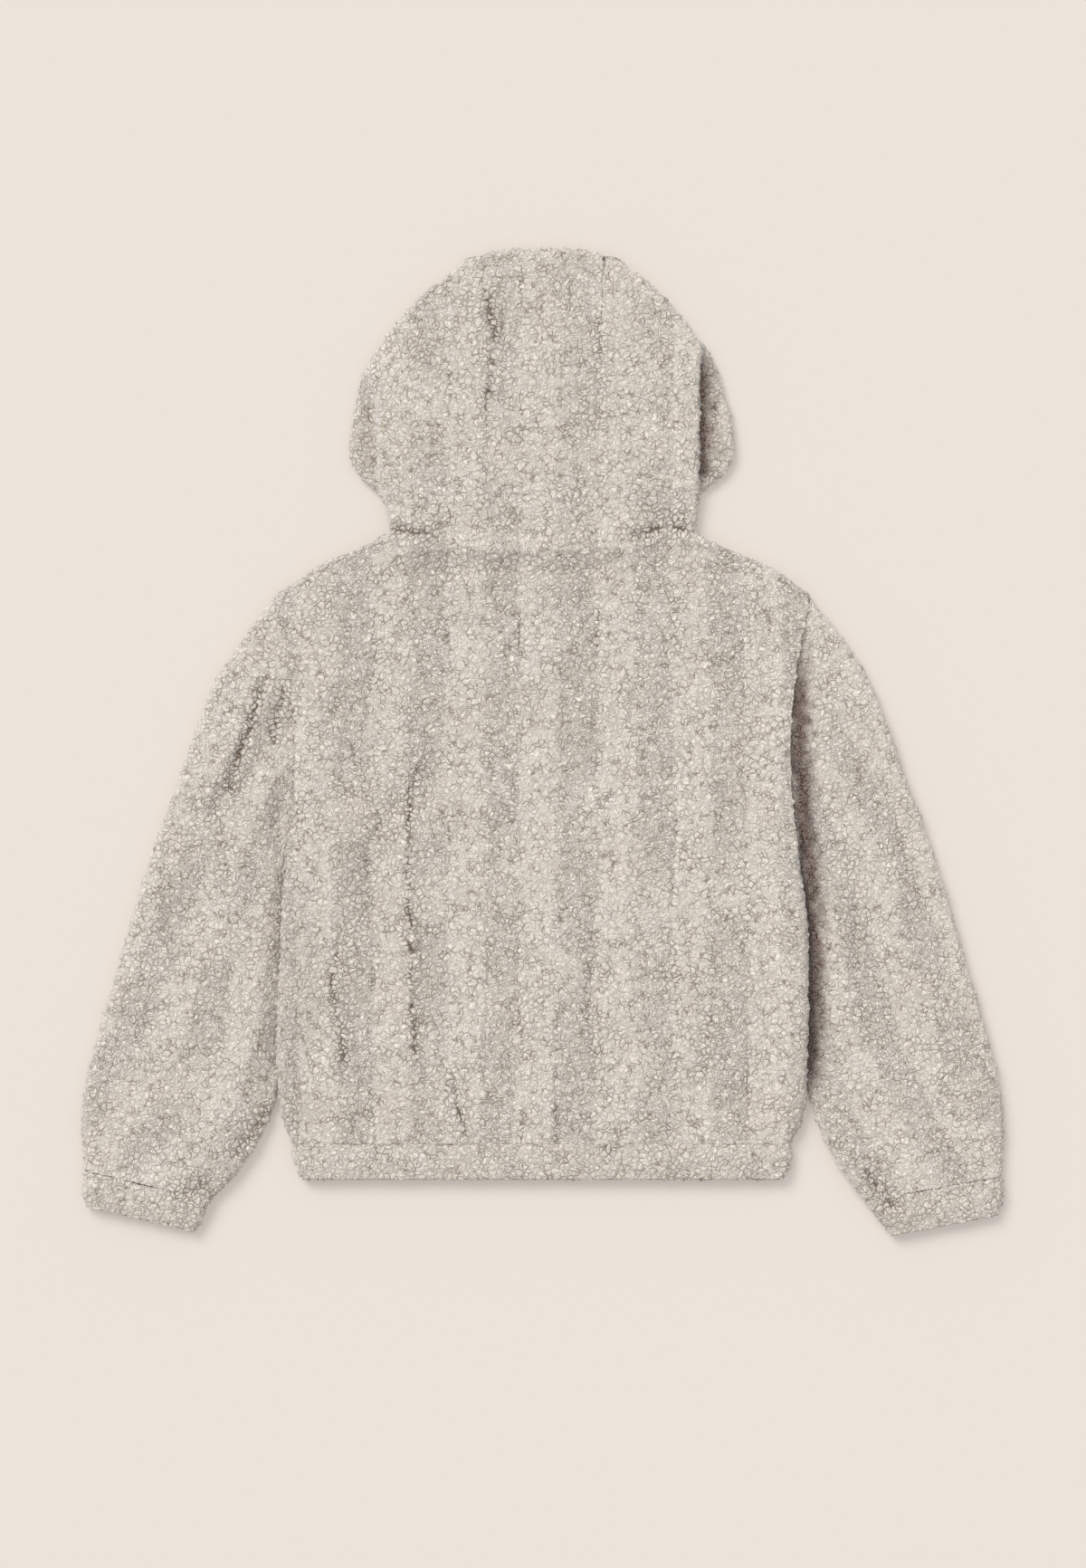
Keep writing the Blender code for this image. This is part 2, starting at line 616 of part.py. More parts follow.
def make_zip(tape_look, metal_look):
    for name, side in (("left", -1.0), ("right", 1.0)):
        ends = sorted((side * TAPE_X[0], side * TAPE_X[1]))
        mesh = box_mesh("tape", (ends[0], ZIP_BOTTOM, TAPE_Z[0]), (ends[1], ZIP_TOP, TAPE_Z[1]))
        add_object("zip_tape_" + name, mesh, tape_look)
    chain_start = ZIP_BOTTOM + BOX_LENGTH + SEAM
    mesh = box_mesh("chain", (-CHAIN_HALF, chain_start, CHAIN_Z[0]),
                    (CHAIN_HALF, CHAIN_TOP, CHAIN_Z[1]))
    add_object("zip_chain", mesh, metal_look)
    mesh = box_mesh("box", (-CHAIN_HALF, ZIP_BOTTOM, CHAIN_Z[0] - BOX_LIP),
                    (CHAIN_HALF, ZIP_BOTTOM + BOX_LENGTH, CHAIN_Z[1] + BOX_LIP))
    add_object("zip_box", mesh, metal_look)
    make_slider(metal_look)
    make_pull(metal_look)


def make_slider(look):
    """Two plates either side of the chain, a post that joins them, and the bail."""
    low, high = SLIDER_Y
    outer_plate = box_mesh("plate", (-SLIDER_HALF, low, SLIDER_OUTER_Z[0]),
                           (SLIDER_HALF, high, SLIDER_OUTER_Z[1]))
    slider = add_object("zip_slider", outer_plate, look)
    post = box_mesh("post", (-POST_HALF, POST_Y[0], POST_Z[0]), (POST_HALF, POST_Y[1], POST_Z[1]))
    join_solids(slider, add_object("post", post, look), "UNION")
    inner_plate = box_mesh("plate", (-SLIDER_HALF, low, SLIDER_INNER_Z[0]),
                           (SLIDER_HALF, high, SLIDER_INNER_Z[1]))
    join_solids(slider, add_object("inner_plate", inner_plate, look), "UNION")
    bail = round_bar("bail", BAIL_RADII[1], BAIL_HALF, 16, look)
    join_solids(bail, round_bar("eye", BAIL_RADII[0], 2 * BAIL_HALF, 16, look), "DIFFERENCE")
    join_solids(slider, bail, "UNION")
    slider.data.materials.clear()
    slider.data.materials.append(look)


def make_pull(look):
    """A flat tab with a slot whose top bar lies in the bail's eye. Its origin is the hinge line."""
    width, length, thick = PULL_SIZE
    slot_width, slot_length = PULL_SLOT
    top = PULL_BAR / 2
    foot = top - length
    half, tip_half = width / 2, width / 2 - PULL_TAPER
    right = [(half - PULL_CORNER, top), (half, top - PULL_CORNER),
             (tip_half, foot + PULL_TIP), (tip_half - PULL_CORNER, foot)]
    outline = right + [(-x, y) for x, y in reversed(right)]
    slot = [(-slot_width / 2, -top), (-slot_width / 2, -top - slot_length),
            (slot_width / 2, -top - slot_length), (slot_width / 2, -top)]
    flat = bpy.data.curves.new("pull", "CURVE")
    flat.dimensions = "2D"
    flat.fill_mode = "BOTH"
    flat.extrude = thick / 2 * MM
    for points in (outline, slot):
        line = flat.splines.new("POLY")
        line.points.add(len(points) - 1)
        for point, (x, y) in zip(line.points, points):
            point.co = (x * MM, y * MM, 0.0, 1.0)
        line.use_cyclic_u = True
    curve = bpy.data.objects.new("pull_curve", flat)
    garment.objects.link(curve)
    bpy.context.view_layer.update()
    mesh = bpy.data.meshes.new_from_object(curve.evaluated_get(bpy.context.evaluated_depsgraph_get()))
    form = bmesh.new()
    form.from_mesh(mesh)
    bmesh.ops.remove_doubles(form, verts=form.verts, dist=1e-6)
    bmesh.ops.recalc_face_normals(form, faces=form.faces)
    form.to_mesh(mesh)
    form.free()
    bpy.data.objects.remove(curve)
    pull = add_object("zip_pull", mesh, look)
    pull.location = (0.0, BAIL_Y * MM, BAIL_Z * MM)


for old in list(bpy.data.objects):
    bpy.data.objects.remove(old)
garment = bpy.data.collections.new("hooded_fleece_jacket")
bpy.context.scene.collection.children.link(garment)

fleece = material("fleece", FLEECE_COLOUR, 0.95)
neck_seam = make_body(fleece)
make_hem_band(fleece)
make_sleeves(fleece)
make_hood(fleece, neck_seam)
make_zip(material("zip_tape", TAPE_COLOUR, 0.8), material("zip_metal", METAL_COLOUR, 0.35, 1.0))
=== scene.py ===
"""Looks of the hooded fleece jacket, laid flat on its front with its back up.

X runs to the picture's right, Y towards the hood, Z up off the surface. Tables and sheets of points
are in millimetres; meshes are in metres. Each panel is a thin shell: a fine outer sheet that carries
the pile, and a coarse inner sheet. The pile's curls come from one set of nodes that is built twice,
once to move the outer sheet and once for the fleece's colour and bump.
"""

import math

import bmesh
import bpy
import numpy as np
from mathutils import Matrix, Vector


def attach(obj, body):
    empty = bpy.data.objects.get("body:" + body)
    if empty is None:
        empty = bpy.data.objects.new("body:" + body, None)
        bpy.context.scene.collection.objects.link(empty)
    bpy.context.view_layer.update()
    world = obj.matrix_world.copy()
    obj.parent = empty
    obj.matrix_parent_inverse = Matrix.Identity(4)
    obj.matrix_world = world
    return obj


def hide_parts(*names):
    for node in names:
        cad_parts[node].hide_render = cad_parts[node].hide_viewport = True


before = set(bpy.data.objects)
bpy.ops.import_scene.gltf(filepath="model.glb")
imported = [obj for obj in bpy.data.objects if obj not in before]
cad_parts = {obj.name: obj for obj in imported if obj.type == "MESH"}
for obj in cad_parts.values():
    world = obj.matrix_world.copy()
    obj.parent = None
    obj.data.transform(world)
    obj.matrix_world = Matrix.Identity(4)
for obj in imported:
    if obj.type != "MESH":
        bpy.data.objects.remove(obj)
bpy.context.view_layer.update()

MM = 0.001

# ---- sizes that the CAD solids have
WALL = 5.0            # backing and the dense foot of the pile
HOOD_WALL = 4.4
LAID = 18.8           # two layers lying on each other
ROUND = LAID / 2
OVERLAP = 0.7         # how far the pile of two panels runs into each other at a seam
NECK_HALF = 162.0
FRONT_EDGE = 8.0
UNDERARM = (273.0, -126.0)
SHOULDER = (285.0, 153.0)
ARMHOLE_BOW = 16.0
LIFT_REACH = 45.0
LIFT_SLOPE = 38.0

# Body outline without its armholes, then what changes from the hem to the neck.
BODY_SIDE = {
    "y":     (-427, -409, -377, -335, -285, -235, -190, -155, -126, 153, 167, 180, 191, 205, 214, 223),
    "left":  (266, 274, 280, 282, 281, 279, 277, 275, 273, 285, 268, 250, 231, 194, 178, 162),
    "right": (264, 274, 280, 281, 282, 282, 281, 277, 273, 285, 269, 251, 232, 196, 178, 162),
}
BODY_FOLD = {"y": (-427, -126, -112, 145, 153, 223), "closed": (1, 1, 0, 0, 1, 1)}
BODY_LIFT = {
    "y":    (-427, -409, -377, -335, -285, -235, -190, -155, -126, -112, -70, 85, 125, 145, 153),
    "lift": (0, 1, 4, 9, 11, 11, 10.5, 8.5, 4, 3, 2.5, 2.5, 2, 1, 0),
}
BODY_DIP = {
    "y":     (-70, -20, 35, 85, 125, 145, 153, 167, 180, 191, 205, 214, 223),
    "back":  (0, 0, 0, 0, 0, 1, 2, 4, 6, 8, 10, 11.5, 13),
    "front": (0, 2, 6, 12, 21, 27, 31, 39, 47, 54, 63, 69, 75),
}
HEM = {
    "y":     (-465, -460, -450, -436, -427),
    "left":  (255, 260, 264, 266, 265.5),
    "right": (257, 261, 264, 265, 263.5),
    "puff":  (0.86, 0.96, 1.04, 1.04, 0.94),
}
SLEEVE = {
    "outer_x": (285, 319, 351, 371, 388, 407, 424, 440, 455, 471, 485, 491, 488),
    "outer_y": (153, 111, 60, 8, -43, -92, -143, -196, -248, -302, -358, -412, -462),
    "inner_x": (273, 275.5, 273, 270, 268.5, 268.5, 270.5, 275, 281.5, 291, 305, 322, 342),
    "inner_y": (-126, -152, -182, -213, -244, -275, -306, -338, -372, -402, -434, -463, -487),
    "inner_h": (13, 9.5, 9, 9, 9, 9, 9, 9, 11, 15, 18, 18.8, 18.8),
    "outer_h": (18.8,) * 13,
    "reach":   (180, 180, 100, 75, 60, 52, 46, 42, 40, 40, 40, 40, 40),
    "bow":     (16, 13, 10, 7, 4, 2, 0, 0, 0, 0, 0, 0, 0),
    "left_outer_y": (0, 0, 0, 0, 0, 0, 0, 0, 0, 0, 2, 5, 7),
    "left_inner_x": (0, 0, 0, 0, 0, 0, 0, 0, 0, 0, 2, 6, 10),
    "left_inner_y": (0,) * 13,
}
CUFF = {
    "outer_x": (488, 490, 485),
    "outer_y": (-462.3, -483, -503),
    "inner_x": (342, 356, 372),
    "inner_y": (-487.3, -506, -525),
    "inner_h": (18.8, 18.8, 16),
    "outer_h": (18.2, 19.8, 16),
    "reach": (40, 40, 40),
    "bow": (0, 0, 0),
    "left_outer_y": (7, 8, 9),
    "left_inner_x": (10, 4, -4),
    "left_inner_y": (0, 2, 4),
}
SLEEVE_LENGTH = 470.0     # middling sizes, for the number of points
SLEEVE_WIDTH = 170.0
CUFF_LENGTH = 42.0
HOOD = {
    "y":             (223, 236, 249, 263, 277, 292, 306, 335, 364, 385, 400, 421, 440, 460, 479,
                      493, 503, 509),
    "fold_left":     (162, 165, 167, 168, 174, 175, 174.5, 175.5, 179, 184, 182, 173, 161, 143, 124,
                      106, 93, 83),
    "outline_left":  (162, 165, 167, 173, 189, 201, 206, 203, 198, 192, 186, 173, 161, 143, 124,
                      106, 93, 83),
    "fold_right":    (162, 165, 166.5, 166.5, 167, 167.5, 167.5, 167.5, 167.5, 167.5, 168, 170, 157,
                      142, 124, 107, 94, 84),
    "outline_right": (162, 165, 167, 170, 186, 200, 205, 203, 196, 189, 184, 171, 157, 142, 124,
                      107, 94, 84),
    "fold_z":        (18.8, 19, 19.5, 21.5, 24, 24, 24, 24, 24, 24, 23.5, 20, 19, 18.8, 18.8,
                      18.8, 18.8, 18.8),
    "middle_z":      (18.8, 19, 19.5, 20, 20.5, 21, 21, 21, 21, 21, 20.5, 20, 19.5, 19.2, 19,
                      18.8, 18.8, 18.8),
    "rim":           (10, 28, 42, 53, 62, 70, 77, 86, 90, 88, 84, 74, 63, 63, 63.5, 64, 64, 64),
    "seam":          (52, 53, 54, 55, 56, 57, 58, 60, 61, 61.5, 62, 62.5, 63, 63, 63.5, 64, 64, 64),
    "back_dip":      (13, 10, 7, 4, 2, 1, 0, 0, 0, 0, 0, 0, 0, 0, 0, 0, 0, 0),
    "front_dip":     (75, 64, 54, 44, 35, 27, 20, 9, 2, 0, 0, 0, 0, 0, 0, 0, 0, 0),
}
CLOSE = {"y": (223, 486, 493, 500, 506, 510), "pinch": (1, 1, 0.95, 0.8, 0.5, 0.05)}
CROWN_Y = 525.0
CROWN_DROP = 8.0
CROWN_START = 493.0
CROWN_FILL = 6.0      # the side panels' crowns come up to the centre strip's edge
CROWN_FROM = 498.0
CROWN_OUT = 96.0
CROWN_TURNS = 24
HOOD_SPOTS = 50       # points along a level stretch of a hood row, before they are spaced out
BROW_Y = 440.0
WING_TOP = 13.5
WING_LEAST = 10.0
WING_STEP = 10.5
FOLD_BROW = 7.0
FOLD_FOOT = 3.0
FOLD_REACH = 60.0

# ---- folds, placed one by one
# Lines on the upper side: hood and body from the top down, then sleeves, cuffs and the hem.
# half: half width. deep: depth of the valley, negative for a roll. shade: how much painted shade
# darkens the valley, where the opened pile shows. lumps: how clumped the pile is.
CREASES = (
    # half, deep, shade, lumps, points
    (3.5, 3.0, 0.95, 0.8, ((-64, 491), (-60, 476), (-54, 453), (-51, 419), (-54, 383), (-57, 352))),
    (3.0, 1.2, 0.35, 0.3, ((-58, 352), (-60, 300), (-60, 250))),
    (3.0, 1.4, 0.3, 0.4, ((72, 510), (70, 490), (73, 476))),
    (4.0, 1.6, 0.5, 0.6, ((58, 446), (62, 420), (63, 380), (64, 352), (50, 333))),
    (9.0, -3.5, 0.0, 0.1, ((-158, 208), (-60, 205), (60, 205), (164, 209))),
    (10.0, 4.0, 0.3, 0.6, ((-170, 180), (-60, 186), (30, 182), (96, 187))),
    (4.0, 2.6, 0.8, 0.9, ((-164, 226), (-140, 224), (-114, 219))),
    (5.5, 3.4, 1.1, 0.9, ((88, 216), (120, 226), (164, 224))),
    (5.0, 2.0, 0.6, 0.9, ((98, 254), (126, 240), (158, 236))),
    (16.0, 1.8, 0.3, 0.5, ((-246, 148), (-214, 165))),
    (5.5, 2.2, 0.4, 0.6, ((-211, 76), (-222, 30), (-230, -11))),
    (17.0, 2.6, 0.30, 0.7, ((-105, 9), (-139, -54), (-177, -87), (-191, -183), (-220, -270), (-240, -299))),
    (1.8, 2.2, 1.0, 0.6, ((-118, 2), (-140, -49), (-143, -116), (-137, -279), (-134, -366))),
    (4.0, 1.8, 0.6, 0.7, ((-166, -70), (-184, -110), (-190, -160))),
    (4.5, 2.6, 0.8, 0.9, ((-214, -211), (-224, -251), (-219, -279), (-205, -368))),
    (2.6, 2.4, 0.9, 0.6, ((-97, -347), (-88, -390), (-79, -424))),
    (2.6, 1.6, 0.6, 0.4, ((15, -340), (15, -422))),
    (4.0, 1.6, 0.5, 0.4, ((53, -183), (48, -270), (58, -375))),
    (10.0, 2.0, 0.45, 0.6, ((178, -279), (169, -375))),
    (3.5, 1.4, 0.35, 0.3, ((144, -68), (135, -183))),
    (3.5, 1.4, 0.35, 0.3, ((221, -222), (216, -318))),
    (3.0, 1.6, 0.6, 0.6, ((131, -404), (131, -424))),
    (5.0, 1.6, 0.8, 0.8, ((68, -424), (76, -436))),
    (3.0, 1.5, 0.5, 0.5, ((-201, -420), (-199, -398))),
    (5.0, 4.0, 1.0, 1.0, ((-289, 80), (-303, 40), (-322, -15), (-341, -69))),
    (4.0, 2.4, 0.7, 0.8, ((-272, 66), (-284, 18), (-290, -10))),
    (6.0, 2.0, 0.45, 0.6, ((-352, -40), (-340, -100), (-330, -170))),
    (5.0, 1.5, 0.3, 0.5, ((-400, -110), (-394, -190), (-386, -260))),
    (5.0, 2.0, 0.4, 0.6, ((308, -78), (332, -145), (332, -250), (345, -330))),
    (4.0, 1.6, 0.4, 0.5, ((362, -20), (384, -120), (392, -220))),
    (5.0, 1.5, 0.3, 0.5, ((420, -250), (430, -330), (428, -400))),
    (6.0, 2.2, 0.6, 1.0, ((-283, -380), (-310, -418), (-336, -447))),
    (5.0, 2.4, 0.8, 1.0, ((340, -452), (356, -471), (375, -500))),
    (4.0, 1.6, 0.6, 0.8, ((471, -452), (455, -440))),
    (8.0, 2.0, 0.55, 0.9, ((-345, -468), (-372, -476), (-398, -474))),
)
# Lines on the side that lies on the surface, pressed flatter, with painted shade in them too.
UNDER_CREASES = (
    (14.0, 1.6, 0.25, 0.5, ((-60, 120), (-120, 40), (-190, -40), (-230, -120))),
    (14.0, 1.6, 0.25, 0.5, ((60, 118), (128, 30), (200, -60), (236, -150))),
    (4.0, 1.4, 0.6, 0.6, ((-150, 100), (-140, -20), (-150, -160))),
    (4.0, 1.4, 0.6, 0.6, ((158, 40), (146, -120), (152, -240))),
    (3.5, 1.4, 0.6, 0.5, ((-60, -300), (-66, -420))),
    (3.5, 1.4, 0.6, 0.5, ((88, -290), (82, -420))),
    (5.0, 1.6, 0.5, 0.7, ((320, 30), (352, -90), (372, -200))),
    (5.0, 1.6, 0.5, 0.7, ((-320, 20), (-350, -100), (-366, -210))),
    (4.0, 1.4, 0.4, 0.6, ((120, 420), (132, 350), (128, 290))),
    (4.0, 1.4, 0.4, 0.6, ((-120, 430), (-134, 360), (-126, 280))),
    (2.4, 1.3, 0.25, 0.1, ((-15, 150), (-15, -424))),
    (2.4, 1.3, 0.25, 0.1, ((15, 150), (15, -424))),
)
# Where a raised edge stands over the layer beside it, with the pile there in deep shade of its own.
# node: half width, depth that the layer sinks, shade, points.
GAPS = {
    "sleeve_right": (12.5, 2.5, 1.0, ((275, 96), (272, 40), (274, -20), (278, -80), (283, -135),
                                      (287, -200), (288, -260), (287, -320), (282, -380))),
    "sleeve_left": (6.0, 0.4, 0.0, ((-276, 60), (-277, -60), (-287, -180), (-289, -300), (-286, -370))),
    "hood_right": (11.5, 1.5, 1.0, ((167, 412), (170, 385), (170, 330), (170, 276))),
    "hood_left": (6.0, 1.0, 0.15, ((-190, 380), (-184, 345), (-182, 290))),
}
# The knit behind the pile makes tightly curled strips along the grain. middle, half width.
STRIPS = ((-280, 18), (-201, 19), (-122, 20), (-44, 18), (35, 21), (117, 20), (196, 19), (272, 18))
# Narrow raised lines beside the strips, where the pile lies smooth.
PALE_LINES = (-226, -177, -148, -96, -67, -12, 8, 68, 89, 144, 173, 226, 250)
SLEEVE_STRIPS = (20, 98, 176)       # their middles across a sleeve, from the underarm fold
SLEEVE_STRIP_HALF = 19.0

STEP = 2.15           # spacing of the outer sheet's points on the back
SLEEVE_STEP = 2.1
HOOD_STEP = 1.75
UNDER_STEP = 3.6      # on sides that lie on the surface
INNER_STEP = 8.0
INNER_ROLL = 1.4      # how far the backing rolls in beside a cut edge
SLEEVE_ROWS = 225
CUFF_ROWS = 20
HOOD_STRIPS = 0.45    # the strips show less on the hood
HEM_ROWS = 16
HEM_UNDER = 0.47      # share of the hem's way round that lies below
EDGE = (0.0, 0.5, 1.3, 2.6)     # closer spacing beside a cut edge, where the pile rolls in
GAP_TOP = 19.5        # a raised edge is higher than this, so only the layer beside it is shaded
REST = 0.03           # the pressed pile's least height over the surface
PILE = 1.25           # millimetres of relief for one unit of pile height
PILE_MIDDLE = 0.9     # the height that leaves the outer sheet where it was


# ---- lines and fields
def curve(x, xs, ys):
    """A smooth line through a table's points, with no overshoot."""
    xs, ys = np.asarray(xs, float), np.asarray(ys, float)
    step = np.diff(xs)
    slope = np.diff(ys) / step
    lean = np.zeros_like(ys)
    lean[0], lean[-1] = slope[0], slope[-1]
    for k in range(1, len(ys) - 1):
        if slope[k - 1] * slope[k] > 0:
            near, far = 2 * step[k] + step[k - 1], step[k] + 2 * step[k - 1]
            lean[k] = (near + far) / (near / slope[k - 1] + far / slope[k])
    x = np.asarray(x, float)
    k = np.clip(np.searchsorted(xs, x) - 1, 0, len(step) - 1)
    t = np.clip((x - xs[k]) / step[k], 0.0, 1.0)
    rest = 1.0 - t
    return (ys[k] * (1 + 2 * t) * rest ** 2 + ys[k + 1] * t ** 2 * (3 - 2 * t)
            + step[k] * (lean[k] * t * rest ** 2 - lean[k + 1] * t ** 2 * rest))


def column(table, name, x):
    return curve(x, table["y"], table[name])


def smooth(value):
    """0 to 1 with soft ends."""
    value = np.clip(value, 0.0, 1.0)
    return value * value * (3.0 - 2.0 * value)


def wobble(x, y, size, seed):
    """Smooth random field, mostly from -1 to 1, with features of about that size."""
    chance = np.random.default_rng(seed)
    total = np.zeros_like(x)
    for _ in range(9):
        turn, phase = chance.uniform(0, 2 * math.pi, 2)
        wave = 2 * math.pi / (size * chance.uniform(1.2, 3.0))
        total += np.sin(wave * (x * math.cos(turn) + y * math.sin(turn)) + phase)
    return total / 3.0


def along_line(x, y, points):
    """Distance to a line of points, and the place along it from 0 to 1."""
    points = np.array(points, float)
    runs = np.diff(points, axis=0)
    lengths = np.hypot(runs[:, 0], runs[:, 1])
    starts = np.concatenate(([0.0], np.cumsum(lengths)))
    best, place = np.full(x.shape, 1e9), np.zeros(x.shape)
    for start, run, length, before in zip(points, runs, lengths, starts):
        t = np.clip(((x - start[0]) * run[0] + (y - start[1]) * run[1]) / length ** 2, 0.0, 1.0)
        far = np.hypot(x - start[0] - t * run[0], y - start[1] - t * run[1])
        closer = far < best
        best = np.where(closer, far, best)
        place = np.where(closer, (before + t * length) / starts[-1], place)
    return best, place


def creased(x, y, lines, seed):
    """Height change, painted crease shade and lumps that the listed lines give at x, y."""
    bent_x = x + 1.4 * wobble(x, y, 16, seed)
    bent_y = y + 1.4 * wobble(x, y, 16, seed + 1)
    broken = smooth(0.85 + 0.6 * wobble(x, y, 14, seed + 2))
    rise, crease_shade, lumps = np.zeros_like(x), np.zeros_like(x), np.zeros_like(x)
    for half, deep, shade, lump, points in lines:
        near = ((x > min(p[0] for p in points) - 60) & (x < max(p[0] for p in points) + 60)
                & (y > min(p[1] for p in points) - 60) & (y < max(p[1] for p in points) + 60))
        if not near.any():
            continue
        far, place = along_line(bent_x[near], bent_y[near], points)
        ends = smooth(place / 0.14) * smooth((1.0 - place) / 0.14) * 0.85 + 0.15
        valley = np.exp(-(far / half) ** 2)
        banks = np.exp(-((far - 2.1 * half) / (0.9 * half)) ** 2)
        rise[near] += ends * (-deep * valley + 0.3 * abs(deep) * banks)
        # Painted shade in the valley, broken into patches.
        shade_here = 0.85 * shade * ends * broken[near] * np.exp(-far / (0.5 * half + 2.5))
        crease_shade[near] = np.maximum(crease_shade[near], shade_here)
        lumps[near] = np.maximum(lumps[near], lump * ends * np.exp(-(far / (half + 12.0)) ** 2))
    return rise, crease_shade, lumps


def stripe(across, along, strips, seed):
    """1 in a tightly curled strip. Its right edge is crisp and its left one soft."""
    across = across + 3.0 * wobble(across * 0.2, along, 60, seed)
    total = np.zeros_like(across)
    for middle, half in strips:
        total = np.maximum(total, smooth((across - middle + half + 4) / 10)
                           * smooth((middle + half - across) / 3.0 + 0.5))
    return total


# ---- sheets of points
def spots(total, count, start=True, end=True):
    """Places along each row from 0 to its total, closer beside a cut edge."""
    total = np.atleast_1d(np.asarray(total, float))[:, None]
    lead = np.array(EDGE if start else EDGE[:1])
    tail = np.array(EDGE if end else EDGE[:1])
    inside = np.linspace(0.0, 1.0, count)[None]
    middle = lead[-1] + (total - lead[-1] - tail[-1]) * inside
    rows = len(total)
    return np.concatenate((np.repeat(lead[None, :-1], rows, 0), middle,
                           total - np.repeat(tail[None, -2::-1], rows, 0)), axis=1)


def armhole_x(y):
    share = (y - UNDERARM[1]) / (SHOULDER[1] - UNDERARM[1])
    straight = UNDERARM[0] + share * (SHOULDER[0] - UNDERARM[0])
    return straight - ARMHOLE_BOW * 4.0 * share * (1.0 - share)


def body_half(y, side):
    open_side = (y > UNDERARM[1]) & (y < SHOULDER[1])
    return np.where(open_side, armhole_x(y), column(BODY_SIDE, side, y))


def body_rows(step):
    low, high = BODY_SIDE["y"][0] - OVERLAP, BODY_SIDE["y"][-1] + OVERLAP
    return low + spots(high - low, int((high - low) / step))[0]


def body_layer(layer, side, y, count, inner_edge):
    """Half of a layer: outer and inner sheet, from the middle out, and each point's edge distance."""
    half = body_half(y, "right" if side > 0 else "left")[:, None]
    closed = np.interp(y, BODY_FOLD["y"], BODY_FOLD["closed"])[:, None]
    lift = np.where(y < SHOULDER[1], curve(y, BODY_LIFT["y"], BODY_LIFT["lift"]), 0.0)[:, None]
    flat = half - ROUND - inner_edge
    quarter = ROUND * math.pi / 2
    total = flat[:, 0] + quarter
    place = spots(total, count, start=inner_edge > 0)
    angle = np.clip((place - flat) / ROUND, 0.0, math.pi / 2 + 0.07)
    sine, drop = np.sin(angle), 1.0 - np.cos(angle)
    flat_x = inner_edge + np.minimum(place, flat)
    x_out = flat_x + ROUND * sine + (1 - closed) * OVERLAP * (angle > 1.2)
    x_in = flat_x + (ROUND - closed * WALL) * sine
    z_out = closed * ROUND * drop
    z_in = WALL + closed * (ROUND - WALL) * drop
    if layer == "upper":
        z_out, z_in = LAID - z_out, LAID - z_in
    rise = lift * smooth((x_out - (half - LIFT_REACH)) / LIFT_SLOPE)
    dips = column(BODY_DIP, "back" if layer == "upper" else "front", y)[:, None]
    dip = dips * (1.0 - np.minimum(1.0, (x_out / half) ** 2))
    height = np.broadcast_to(y[:, None], x_out.shape) - dip
    edge = total[:, None] - place
    if inner_edge > 0:
        edge = np.minimum(edge, place)
    edge = np.minimum(edge, np.minimum(y - y[0], y[-1] - y)[:, None])
    outer = np.stack((side * x_out, height, z_out + rise), -1)
    inner = np.stack((side * x_in, height, z_in + rise), -1)
    return outer, inner, edge


def back_sheets():
    y = body_rows(STEP)
    count = int(290 / STEP)
    left = body_layer("upper", -1.0, y, count, 0.0)
    right = body_layer("upper", 1.0, y, count, 0.0)
    return [np.concatenate((a[:, :0:-1], b), axis=1) for a, b in zip(left, right)]


def front_sheets(side):
    y = body_rows(UNDER_STEP)
    return list(body_layer("lower", side, y, int(285 / UNDER_STEP), FRONT_EDGE))


def hem_sheets():
    """The band, from the zip round each side and over the back."""
    low, high = HEM["y"][0], HEM["y"][-1] + OVERLAP
    y = low + spots(high - low, HEM_ROWS)[0]
    parts = []
    for name, side in (("right", 1.0), ("left", -1.0)):
        half, puff = column(HEM, name, y)[:, None], column(HEM, "puff", y)[:, None]
        radius, wall = ROUND * puff, WALL * puff
        middle = np.maximum(ROUND, radius)
        run = half - radius - FRONT_EDGE
        turn = math.pi * radius
        total = (run + turn + half - radius)[:, 0]
        under, top = int(250 / UNDER_STEP), int(285 / STEP)
        share = np.concatenate((np.linspace(0, HEM_UNDER, under, endpoint=False),
                                np.linspace(HEM_UNDER, 1, top)))
        place = total[:, None] * share[None]
        place[:, 1:4] = np.array(EDGE[1:])
        angle = np.clip((place - run) / radius, 0.0, math.pi)
        back = np.maximum(place - run - turn, 0.0)
        flat = FRONT_EDGE + np.minimum(place, run) - back
        sheets = []
        for reach in (radius, radius - wall):
            sheets.append(np.stack((side * (flat + reach * np.sin(angle)),
                                    np.broadcast_to(y[:, None], place.shape),
                                    middle - reach * np.cos(angle)), -1))
        edge = np.minimum(place, np.minimum(y - y[0], y[-1] - y)[:, None] + 0 * place)
        parts.append((*sheets, edge))
    return [np.concatenate((b, a[:, -2::-1]), axis=1) for a, b in zip(*parts)]


